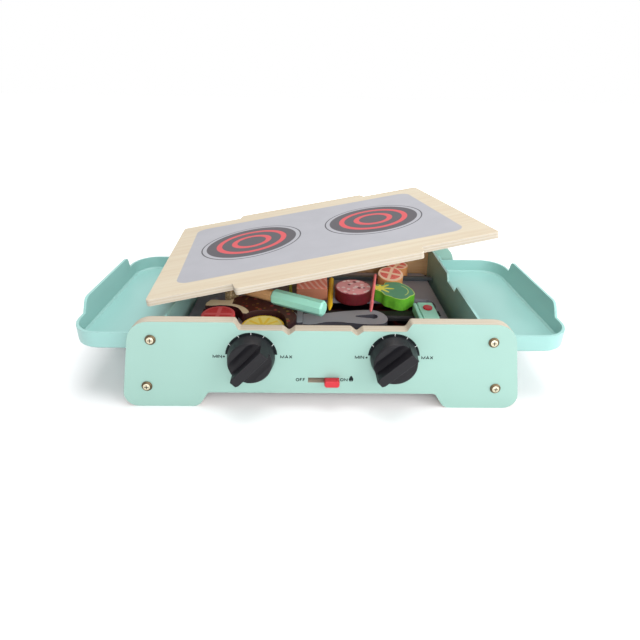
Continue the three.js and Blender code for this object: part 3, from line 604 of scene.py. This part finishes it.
def ring_mask(tree, distance, radius, half_width):
    away = math_node(tree, "ABSOLUTE", math_node(tree, "SUBTRACT", distance, radius))
    return disc_mask(tree, away, half_width)


def rounded_box_mask(tree, parts, size, radius):
    """1 inside a rectangle with rounded corners."""
    over = []
    for axis, length in zip("XY", size):
        away = math_node(tree, "ABSOLUTE", parts[axis])
        inset = math_node(tree, "SUBTRACT", away, length / 2 - radius)
        over.append(math_node(tree, "MAXIMUM", inset, 0.0))
    return disc_mask(tree, reach_of(tree, *over), radius)


def lid_top_material():
    material, tree, shader = new_material("lid_top")
    place = lid_place(tree)
    parts = split(tree, place)
    grain = use_group(tree, wood_grain, Vector=place, Light=rgb(197, 187, 166),
                      Dark=rgb(184, 164, 137), Strength=0.7)
    ink_drift = map_range(tree, noise(tree, place, ink_scale), 0.3, 0.7)
    ink = mix_colour(tree, ink_drift, rgb(154, 154, 160), rgb(159, 159, 165))
    printed = rounded_box_mask(tree, parts, print_size, print_radius)
    colour = mix_colour(tree, printed, grain["Color"], ink)
    # The pattern is folded at the middle, so one burner is drawn and two are seen
    aside = math_node(tree, "ABSOLUTE", parts["X"])
    folded = math_node(tree, "SUBTRACT", aside, burner_spacing / 2)
    distance = reach_of(tree, folded, parts["Y"])
    colour = mix_colour(tree, ring_mask(tree, distance, *burner_line), colour, rgb(56, 54, 60))
    colour = mix_colour(tree, disc_mask(tree, distance, burner_disc), colour, rgb(64, 60, 66))
    for ring in burner_rings:
        colour = mix_colour(tree, ring_mask(tree, distance, *ring), colour, rgb(190, 66, 72))
    finish_shader(shader, colour, 0.5, grain["Height"], 0.15, 0.35)
    return material


lid_edge = ply_edge_material("lid_edge", lid_layer, lid_place, "Z", specular=0.5)
dress(lid_node, "stove_top_board", "ply_bare", 0.5 * mm, lid_top_material(), lid_edge, bare_face,
      shape=store_lid_place, choose=lambda face: board_side(face, lid_axes[2]))
print("lid centre", [round(v, 4) for v in lid_centre])

# %% [markdown]
# Each dial is a printed black half ring with five pale ticks and two words. The marks could be
# painted in the panel's material. They are thin raised ink here, because flat outlines give
# crisp edges at any size, and each mark stays a piece that can be moved.

# %% Dial rings
dial_x = {side: middle_of(f"{side}_knob_axle").x for side in ("left", "right")}
dial_z = middle_of("left_knob_axle").z
ink_height = 0.06 * mm
ring_outer = 23 * mm
ring_inner = 17 * mm
ring_start = math.radians(4)
print_ink = skin_material("black_ink", rgb(10, 20, 22), 0.5, 0.1, bump=0.05, specular=0.2)
white_ink = skin_material("white_ink", rgb(235, 240, 238), 0.5, 0.03, bump=0.05)


def arc_points(radius, start, sweep, steps):
    turns = [start + sweep * i / steps for i in range(steps + 1)]
    return [(radius * math.cos(turn), radius * math.sin(turn)) for turn in turns]


def slab_mesh(name, *outlines):
    """Flat outlines, each raised by the ink's height into a thin closed body."""
    work = bmesh.new()
    for outline in outlines:
        low = [work.verts.new((x, y, 0)) for x, y in outline]
        high = [work.verts.new((x, y, ink_height)) for x, y in outline]
        work.faces.new(high)
        work.faces.new(list(reversed(low)))
        for i in range(len(outline)):
            j = (i + 1) % len(outline)
            work.faces.new((low[i], low[j], high[j], high[i]))
    bmesh.ops.recalc_face_normals(work, faces=work.faces)
    mesh = bpy.data.meshes.new(name)
    work.to_mesh(mesh)
    work.free()
    return mesh


def print_on_panel(name, mesh, material, x, z):
    """A mark drawn in XY, stood up on the front panel's face at a place."""
    stand = Matrix.Rotation(math.pi / 2, 4, "X")
    mesh.transform(Matrix.Translation((x, front_face, z)) @ stand)
    mark = make_object(name, mesh, material)
    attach(mark, "grill")
    return mark


ring_arc = (ring_start, math.pi - 2 * ring_start, 48)
half_ring = arc_points(ring_inner, *ring_arc) + arc_points(ring_outer, *ring_arc)[::-1]
for side, x in dial_x.items():
    ring_mesh = slab_mesh("half_ring", half_ring)
    print_on_panel(f"{side}_dial_ring", ring_mesh, print_ink, x, dial_z)
    print(side, "dial ring at", round(x, 4), "height", round(dial_z, 4))

# %% [markdown]
# Five pale ticks cross each ring. They could be placed by hand, but a small node tree spaces
# them along an arc, so their number and sweep are inputs.

# %% Dial ticks by Geometry Nodes
tick_length = 3.0 * mm
tick_values = {
    "Count": 5, "Radius": ring_outer - tick_length / 2, "Length": tick_length,
    "Width": 0.38 * mm, "Height": 0.1 * mm, "Start": math.radians(30),
    "Sweep": math.radians(120), "Ink": white_ink,
}


def build_tick_tree():
    tree = bpy.data.node_groups.new("dial_ticks", "GeometryNodeTree")
    geometry = {"name": "Geometry", "socket_type": "NodeSocketGeometry"}
    tree.interface.new_socket(**geometry, in_out="INPUT")
    tree.interface.new_socket(**geometry, in_out="OUTPUT")
    identifiers = {}
    for title in tick_values:
        kind = "NodeSocket" + {"Count": "Int", "Ink": "Material"}.get(title, "Float")
        socket = tree.interface.new_socket(title, in_out="INPUT", socket_type=kind)
        identifiers[title] = socket.identifier
    given = tree.nodes.new("NodeGroupInput").outputs
    result = tree.nodes.new("NodeGroupOutput").inputs
    arc = new_node(tree, "GeometryNodeCurveArc", {
        "Resolution": given["Count"], "Radius": given["Radius"],
        "Start Angle": given["Start"], "Sweep Angle": given["Sweep"],
    })
    points = new_node(tree, "GeometryNodeCurveToPoints", {"Curve": arc.outputs["Curve"]},
                      mode="EVALUATED").outputs
    size = new_node(tree, "ShaderNodeCombineXYZ", {
        "X": given["Length"], "Y": given["Height"], "Z": given["Width"],
    })
    tick = new_node(tree, "GeometryNodeMeshCube", {"Size": size.outputs[0]})
    placed = new_node(tree, "GeometryNodeInstanceOnPoints", {
        "Points": points["Points"], "Rotation": points["Rotation"],
        "Instance": tick.outputs["Mesh"],
    })
    real = new_node(tree, "GeometryNodeRealizeInstances", {"Geometry": placed.outputs[0]})
    inked = new_node(tree, "GeometryNodeSetMaterial", {
        "Geometry": real.outputs[0], "Material": given["Ink"],
    })
    put(inked.outputs[0], result["Geometry"])
    return tree, identifiers


tick_tree, tick_sockets = build_tick_tree()


def ticks_mesh(name):
    carrier = add_object(name, bpy.data.meshes.new(name))
    modifier = carrier.modifiers.new("ticks", "NODES")
    modifier.node_group = tick_tree
    for title, value in tick_values.items():
        modifier[tick_sockets[title]] = value
    bake_modifiers(carrier)
    mesh = carrier.data
    bpy.data.objects.remove(carrier)
    mesh.transform(Matrix.Translation((0, 0, ink_height)))
    return mesh


for side, x in dial_x.items():
    ticks = print_on_panel(f"{side}_dial_ticks", ticks_mesh(f"{side}_ticks"), white_ink, x, dial_z)
    print(ticks.name, len(ticks.data.polygons), "faces", round(ticks.dimensions.x / mm, 2), "mm")

# %% [markdown]
# The words are generic: MIN and MAX beside the dials, OFF and ON beside the switch. A font
# would do, but at this size its M closes up. Each letter is a few strokes of one width, so it
# stays open and needs no font file.

# %% Words, dots and the flame mark
letter_height = 2.6 * mm
stroke_half = 0.35 * mm
letter_gap = 1.1 * mm
# Each letter's width and strokes, as shares of its height
round_turn = arc_points(0.5, math.pi / 2, -2 * math.pi, 20)
round_o = [(0.48 + 0.96 * x, 0.5 + y) for x, y in round_turn]
letters = {
    "M": (1.15, [[(0, 0), (0, 1), (0.575, 0.1), (1.15, 1), (1.15, 0)]]),
    "I": (0.0, [[(0, 0), (0, 1)]]),
    "N": (0.95, [[(0, 0), (0, 1), (0.95, 0), (0.95, 1)]]),
    "A": (0.96, [[(0, 0), (0.48, 1), (0.96, 0)], [(0.24, 0.27), (0.72, 0.27)]]),
    "X": (0.9, [[(0, 0), (0.9, 1)], [(0, 1), (0.36, 0.6)], [(0.54, 0.4), (0.9, 0)]]),
    "O": (0.96, [round_o]),
    "F": (0.6, [[(0, 0), (0, 1), (0.6, 1)], [(0.1, 0.5), (0.5, 0.5)]]),
}
# Each word's piece, its text and its middle on the panel, in mm
words = (
    ("left_min", "MIN", -92.9, 51.3), ("left_max", "MAX", -32.2, 51.3),
    ("right_min", "MIN", 32.6, 51.5), ("right_max", "MAX", 92.8, 51.5),
    ("switch_off", "OFF", -19.5, 28.3), ("switch_on", "ON", 19.4, 28.6),
)
dot_outline = arc_points(0.9 * mm, 0, 2 * math.pi, 20)[:-1]
dot_aside, dot_z = 24.1 * mm, 51.2 * mm
flame_width, flame_height = 4.2 * mm, 6.2 * mm
flame_pinch, flame_notch, flame_steps = 0.55, 0.3, 24
flame_x, flame_z = 25.9 * mm, 29.6 * mm


def stroke_outline(line):
    """The outline of a bent stroke of one width, with its sharp corners cut short."""
    left, right = [], []
    for i, here in enumerate(line):
        after = (line[min(i + 1, len(line) - 1)] - line[min(i, len(line) - 2)]).normalized()
        before = (line[max(i, 1)] - line[max(i, 1) - 1]).normalized()
        across = Vector((-(before + after).y, (before + after).x)).normalized()
        reach = stroke_half / max(0.5, across.dot(Vector((-before.y, before.x))))
        left.append(here + across * reach)
        right.append(here - across * reach)
    return left + right[::-1]


def word_mesh(text):
    """A word of stroked letters, centred on its own middle."""
    widths = [letters[letter][0] * letter_height + letter_gap for letter in text]
    along = (letter_gap - sum(widths)) / 2
    outlines = []
    for letter, width in zip(text, widths):
        for line in letters[letter][1]:
            outlines.append(stroke_outline([
                Vector((along + x * letter_height, (y - 0.5) * letter_height)) for x, y in line
            ]))
        along += width
    return slab_mesh(text, *outlines)


def flame_outline():
    """A plain flame: a drop whose sides pull in to a point, with a small notch under it."""
    outline = []
    for i in range(flame_steps):
        turn = i / flame_steps * 2 * math.pi
        pinch = 1 - flame_pinch * max(0.0, -math.cos(turn)) ** 0.8
        notch = flame_notch * flame_height if i == 0 else 0
        rise = notch - flame_height / 2 * math.cos(turn)
        outline.append((flame_width / 2 * math.sin(turn) * pinch, rise))
    return outline


for name, text, x, z in words:
    print_on_panel(f"word_{name}", word_mesh(text), print_ink, x * mm, z * mm)
for side, x in dial_x.items():
    dot_mesh = slab_mesh("dot", dot_outline)
    print_on_panel(f"{side}_dial_dot", dot_mesh, print_ink, x - dot_aside, dot_z)
print_on_panel("flame_mark", slab_mesh("flame", flame_outline()), print_ink, flame_x, flame_z)
print("words", [text for _, text, _, _ in words])

# %% [markdown]
# The knobs and the switch are moulded, and the screws sit in dark cup washers. A cross recess
# could be left to its own shadow, but it is so small that its faces get painted shade instead,
# a dark colour of their own.
# The fittings behind the panel keep their CAD shape and get a plain finish.

# %% Knobs, switch, screws and hidden fittings
recess_reach = 1.95 * mm
recess_depth = 0.75 * mm
crown_skin = 0.02 * mm

for side in ("left", "right"):
    dress(f"{side}_knob", f"{side}_knob_grip", "black_plastic", 0.5 * mm, knob_black)
dress("switch_slider", "switch_button", "red_plastic", 0.25 * mm, red_gloss)


def recess_chooser(node, outward):
    """1 for the faces inside a screw head's cross recess, which carry painted shade, else 0."""
    low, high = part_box(node)
    axis = middle_of(node)
    crown = high.y if outward > 0 else low.y

    def choose(face):
        depth = (crown - face.center.y) * outward
        away = math.hypot(face.center.x - axis.x, face.center.z - axis.z)
        return 1 if crown_skin < depth < recess_depth and away < recess_reach else 0
    return choose


for panel, outward in (("front", -1), ("rear", 1)):
    for corner in ("upper_left", "upper_right", "lower_left", "lower_right"):
        node = f"{panel}_{corner}_screw"
        dress(node, node + "_head", "steel", 0, screw_steel, recess_painted_shade,
              choose=recess_chooser(node, outward))

plain_finishes = {
    "_cup_washer": cup_brass, "switch_screw": screw_steel, "_axle": screw_steel,
    "_washer": screw_steel, "_nut": cup_brass, "switch_keeper": dark_grey,
    "battery_box": knob_black, "battery_cover": knob_black, "_rail": dark_grey,
}
plain_nodes = 0
for node, solid in frame["nodes"].items():
    finish = next((plain_finishes[end] for end in plain_finishes if node.endswith(end)), None)
    if finish:
        solid.data.materials.clear()
        solid.data.materials.append(finish)
        plain_nodes += 1
print("plain finishes on", plain_nodes, "nodes")

# %% [markdown]
# Under the grate lies a black board with a red ember window. Real embers glow in the cracks
# between dark coals. A picture could show that, but a cell pattern draws it at any size.

# %% Base board, embers and grate
coal_scale, crack_share = 55.0, 0.16
patch_scale, patch_from, patch_full = 22.0, 0.48, 0.62


def ember_material():
    material, tree, shader = new_material("ember_window")
    place = object_place(tree)
    cells = new_node(tree, "ShaderNodeTexVoronoi", {"Vector": place, "Scale": coal_scale},
                     feature="DISTANCE_TO_EDGE")
    crack = map_range(tree, cells.outputs["Distance"], crack_share, 0.0)
    patch = map_range(tree, noise(tree, place, patch_scale), patch_from, patch_full)
    glow = math_node(tree, "MULTIPLY", crack, patch)
    colour = mix_colour(tree, glow, rgb(14, 10, 13), rgb(78, 18, 18))
    put_all(shader, {"Base Color": colour, "Emission Color": colour, "Emission Strength": 0.12,
                     "Roughness": 0.35})
    return material


dress("base_board", "base_board_plate", "black_wood", 0.3 * mm, board_black)
dress("ember_window", "ember_pane", "ember_red", 0.3 * mm, ember_material())

# The strip between the two slots is painted black like the board under it
slot_left, slot_right = -125 * mm, 126 * mm
grill_middle = front_face + 105 * mm
strip_front, strip_back = grill_middle - 26.6 * mm, grill_middle - 15.4 * mm
strip_cuts = [((x, 0, 0), (1, 0, 0)) for x in (slot_left, slot_right)]
strip_cuts += [((0, y, 0), (0, 1, 0)) for y in (strip_front, strip_back)]


def on_strip(face):
    inside = slot_left < face.center.x < slot_right
    return 1 if inside and strip_front < face.center.y < strip_back else 0


def top_chooser(face):
    """0 for the faces that look up, 1 for the rest."""
    return 0 if face.normal.z > 0.5 else 1


dress("grill_grate", "grate_plate", "grey_wood", 0.6 * mm, grate_grey, board_black,
      shape=cut_along(strip_cuts), choose=on_strip)
dress("grate_cross_bar", "cross_bar_strip", "dark_wood", 0.5 * mm, dark_grey)
# Each spatula piece keeps the grey on its top, and all its other faces get the darker grey as
# painted shade.
for part in ("handle", "ferrule", "blade"):
    dress(f"spatula_{part}", f"spatula_{part}_piece", "grey_wood", 0.4 * mm, spatula_grey,
          spatula_painted_shade, choose=top_chooser)
print("grate strip", round((strip_back - strip_front) / mm, 1), "mm wide")

# %% [markdown]
# The play food is sawn wood with printed tops and painted sides. A top could be one material
# with many masks. Where a print follows the outline, the top face is inset instead, so each
# band is real faces with its own plain paint.

# %% Food helpers
def dress_food(node, name, slot, width, side, *tops, band=0.0):
    """A food copy with its own top, and inside a band along the rim a second one."""
    def mark_top(work):
        work.normal_update()
        top = max(work.faces, key=lambda f: f.calc_area() if f.normal.z > 0.7 else 0)
        top.material_index = 1
        if band:
            bmesh.ops.inset_region(work, faces=[top], thickness=band, use_even_offset=True)
            top.material_index = 2
    return dress(node, name, slot, width, side, *tops, shape=mark_top, over_degrees=30)


def polar(tree, place):
    """Distance from the pattern's middle, and the angle round it."""
    parts = split(tree, place)
    distance = reach_of(tree, parts["X"], parts["Y"])
    return distance, math_node(tree, "ARCTAN2", parts["Y"], parts["X"])


# Where a slice's pith and its rind begin and are full, as shares of its radius
pith_from, pith_full, rind_from, rind_full = 0.80, 0.83, 0.90, 0.92
pulp_scale, flesh_share = 500.0, 0.82


def slice_material(name, centre, radius, count, line_width, flesh, line, rind, pith, turn):
    """A cut fruit: flesh in segments between lines, a pale pith and a coloured rind."""
    material, tree, shader = new_material(name)
    place = object_place(tree, centre, turn)
    distance, angle = polar(tree, place)
    segment = 2 * math.pi / count
    share = math_node(tree, "FRACT", math_node(tree, "MULTIPLY", angle, 1 / segment))
    off_middle = math_node(tree, "ABSOLUTE", math_node(tree, "SUBTRACT", share, 0.5))
    from_line = math_node(tree, "SUBTRACT", 0.5, off_middle)
    reach = math_node(tree, "MULTIPLY", math_node(tree, "MULTIPLY", from_line, segment), distance)
    cells = noise(tree, place, pulp_scale)
    pulp = mix_colour(tree, map_range(tree, cells, 0.35, 0.65), flesh, line)
    colour = mix_colour(tree, flesh_share, pulp, flesh)
    colour = mix_colour(tree, map_range(tree, reach, line_width, line_width / 2), colour, line)
    for begins, full, tint in ((pith_from, pith_full, pith), (rind_from, rind_full, rind)):
        colour = mix_colour(tree, map_range(tree, distance, radius * begins, radius * full),
                            colour, tint)
    finish_shader(shader, colour, 0.5, cells, 0.1)
    return material


def dress_fruit(kind, slot, width, radius, count, line_width, side, turn=0.0, **tints):
    """A fruit slice with its printed top and its painted side."""
    node = kind + "_slice"
    top = slice_material(kind + "_top", middle_of(node), radius, count, line_width, turn=turn,
                         **tints)
    dress_food(node, kind + "_piece", slot, width, paint(kind + "_side", *side), top)


wobble_scale, wobble_reach = 320.0, 1.5 * mm


def overpaint(material, mask, tint):
    """Lays a second colour over a finished material where a mask is 1."""
    tree = material.node_tree
    socket = tree.nodes["Principled BSDF"].inputs["Base Color"]
    put(mix_colour(tree, mask, socket.links[0].from_socket, tint), socket)


def speckle_material(name, base, centre, *spots):
    """A printed top with scattered spots: each is (scale, size, shift, colour)."""
    material = skin_material(name, base, 0.45, 0.12, 500.0, centre=centre)
    tree = material.node_tree
    place = object_place(tree, centre)
    ragged = noise(tree, place, wobble_scale, output="Color")
    wobble = vector_math(tree, "MULTIPLY", ragged, (wobble_reach, wobble_reach, 0))
    for scale, size, shift, tint in spots:
        moved = vector_math(tree, "ADD", place, (shift, shift * 0.7, 0))
        bent = vector_math(tree, "ADD", moved, wobble)
        cells = new_node(tree, "ShaderNodeTexVoronoi", {"Vector": bent, "Scale": scale})
        spot = map_range(tree, cells.outputs["Distance"], size + 0.06, size - 0.02)
        overpaint(material, spot, tint)
    return material


print("rinds begin at", rind_from, "of a slice's radius")

# %% [markdown]
# The steak is dark with a cream tail and a strip of fat along its hollow front edge. The fat
# could be faces of its own, but its edge is printed, so it is a mask on the top's material.
# Tomato and lemon are cut fruit, drawn from the middle outwards.

# %% Steak, tomato and lemon
tail_end = -92 * mm
tail_softness = 0.3 * mm
hollow_centre = (-98 * mm, grill_middle - 56 * mm, 0)
fat_reach = 27.2 * mm
fat_tint = rgb(226, 212, 178)


def tail_mask(tree):
    along = split(tree, object_place(tree))["X"]
    return map_range(tree, along, tail_end + tail_softness, tail_end - tail_softness)


def fat_mask(tree):
    return disc_mask(tree, polar(tree, object_place(tree, hollow_centre))[0], fat_reach)


steak_top = speckle_material(
    "steak_top", rgb(66, 20, 18), middle_of("steak"), (150.0, 0.24, 0.013, rgb(120, 96, 40)),
    (210.0, 0.14, 0.031, rgb(50, 16, 18)), (120.0, 0.22, 0.007, rgb(140, 44, 44)))
for mask in (tail_mask, fat_mask):
    overpaint(steak_top, mask(steak_top.node_tree), fat_tint)
steak_side = paint("steak_side", 50, 18, 20)
steak = dress_food("steak", "steak_slice", "steak_brown", 0.6 * mm, steak_side, steak_top)
dress_fruit("tomato", "tomato_red", 0.6 * mm, 16.5 * mm, 4, 2.6 * mm, side=(222, 70, 78),
            flesh=rgb(220, 62, 68), line=rgb(240, 116, 120), rind=rgb(236, 96, 102),
            pith=rgb(230, 100, 106))
dress_fruit("lemon", "lemon_yellow", 0.6 * mm, 21 * mm, 10, 1.7 * mm, side=(246, 204, 52),
            flesh=rgb(255, 240, 136), line=rgb(252, 222, 78), rind=rgb(250, 216, 64),
            pith=rgb(252, 236, 160))
print("steak", len(steak.data.polygons), "faces")

# %% [markdown]
# Salmon is striped, salami is speckled inside a dark skin, and the pepper has a pale outline,
# a teal middle and a yellow stem star. The star could be cut faces, but it is printed, so it
# is drawn by its distance and angle. The peach slices are cut fruit like the lemon.

# %% Salmon, salami, pepper and peach slices
stripe_turn, stripe_scale, stripe_bend = math.radians(24), 48.0, 2.5


def salmon_top_material():
    material, tree, shader = new_material("salmon_top")
    place = object_place(tree, middle_of("salmon_block"), stripe_turn)
    wave = new_node(tree, "ShaderNodeTexWave", {
        "Vector": place, "Scale": stripe_scale, "Distortion": stripe_bend,
    }).outputs["Fac"]
    stripe = map_range(tree, wave, 0.55, 0.8)
    colour = mix_colour(tree, stripe, rgb(236, 136, 118), rgb(248, 188, 170))
    finish_shader(shader, colour, 0.5, wave, 0.1)
    return material


salmon_side = wood_material("salmon_side", rgb(196, 128, 100), rgb(168, 100, 76))
dress_food("salmon_block", "salmon_piece", "salmon_pink", 0.8 * mm, salmon_side,
           salmon_top_material())
salami_top = speckle_material(
    "salami_top", rgb(238, 168, 174), middle_of("salami_slice"),
    (150.0, 0.31, 0.0, rgb(250, 222, 224)), (110.0, 0.25, 0.02, rgb(250, 228, 230)),
    (100.0, 0.19, 0.05, rgb(112, 34, 52)))
salami_side = wood_material("salami_side", rgb(112, 24, 36), rgb(86, 32, 32), 0.8, math.pi / 2)
salami_skin = paint("salami_skin", 150, 62, 78)
dress_food("salami_slice", "salami_piece", "salami_red", 0.5 * mm, salami_side, salami_skin,
           salami_top, band=1.3 * mm)

pepper_middle = middle_of("green_pepper_slice")
arc_radius, arc_half_width = 15.5 * mm, 0.45 * mm
star_centre = (pepper_middle.x - 15 * mm, pepper_middle.y + 6 * mm, 0)
star_turn = math.radians(-8)
star_hub, star_ray, star_rays = 5.2 * mm, 11 * mm, 8
star_softness = 0.3 * mm


def star_mask(tree):
    """1 on a round hub with pointed rays, which are longest towards the right."""
    away, turn = polar(tree, object_place(tree, star_centre, star_turn))
    wave = math_node(tree, "COSINE", math_node(tree, "MULTIPLY", turn, star_rays / 2))
    rays = math_node(tree, "POWER", math_node(tree, "ABSOLUTE", wave), 3.0)
    to_right = map_range(tree, math_node(tree, "COSINE", turn), -0.2, 1.0, 0.3, 1.0)
    rays = math_node(tree, "MULTIPLY", math_node(tree, "MULTIPLY", rays, to_right), star_ray)
    edge = math_node(tree, "SUBTRACT", away, math_node(tree, "ADD", rays, star_hub))
    return map_range(tree, edge, star_softness, -star_softness)


def arc_mask(tree):
    """1 on a short arc at the right."""
    around, turn = polar(tree, object_place(tree, pepper_middle))
    near = map_range(tree, math_node(tree, "ABSOLUTE", turn), 0.9, 0.85)
    return math_node(tree, "MULTIPLY", ring_mask(tree, around, arc_radius, arc_half_width), near)


pepper_top = skin_material("pepper_top", rgb(84, 156, 122), 0.45, 0.1, 500.0)
overpaint(pepper_top, arc_mask(pepper_top.node_tree), rgb(208, 232, 120))
overpaint(pepper_top, star_mask(pepper_top.node_tree), rgb(232, 236, 92))
pepper_side = wood_material("pepper_side", rgb(122, 206, 60), rgb(88, 174, 46), 0.8, math.pi / 2)
pepper_line = paint("pepper_line", 200, 228, 112)
dress_food("green_pepper_slice", "pepper_piece", "pepper_green", 0.4 * mm, pepper_side,
           pepper_line, pepper_top, band=0.9 * mm)

for place, radius, turned in (("front", 15 * mm, 70), ("rear", 13.4 * mm, 60)):
    dress_fruit(f"{place}_peach", "peach_pink", 0.5 * mm, radius, 4, 2.4 * mm,
                side=(240, 168, 108), turn=math.radians(turned), flesh=rgb(232, 98, 94),
                line=rgb(252, 218, 190), rind=rgb(252, 216, 186), pith=rgb(252, 222, 200))
print("materials with the food", len(bpy.data.materials))

# %% [markdown]
# The skewers are thin painted sticks, and the brush and tongs are turned or sawn wood.
# Bristles could be hundreds of hairs. On a toy they are one felt block, so speckles are enough.

# %% Skewers, brush and tongs
stick_tints = {"yellow": (240, 196, 36), "pink": (238, 118, 124), "green": (196, 214, 80)}
for colour, tint in stick_tints.items():
    stick_paint = paint(f"{colour}_stick", *tint)
    dress(f"{colour}_skewer", f"{colour}_stick", f"stick_{colour}", 0.15 * mm, stick_paint)
dress("brush_grip", "brush_grip_piece", "mint_wood", 0.3 * mm, tool_mint)
neck_turn = math.radians(-27.5)
neck_wood = wood_material("neck_wood", rgb(220, 176, 128), rgb(190, 144, 98), turn=neck_turn)
dress("brush_neck", "brush_neck_piece", "ply_bare", 0.3 * mm, neck_wood)
bristle_tan = speckle_material(
    "brush_bristles", rgb(176, 150, 112), middle_of("brush_bristles"),
    (420.0, 0.26, 0.0, rgb(222, 204, 168)), (360.0, 0.2, 0.03, rgb(84, 62, 44)))
dress("brush_bristles", "bristle_block", "bristle_tan", 0, bristle_tan)
for arm in ("wide", "narrow"):
    dress(f"tongs_{arm}_arm", f"tongs_{arm}_piece", "mint_wood", 0, tool_mint)
dress("tongs_pivot", "tongs_pivot_cap", "red_plastic", 0.3 * mm, red_gloss)
print("sticks", ", ".join(stick_tints), "and two tools dressed")
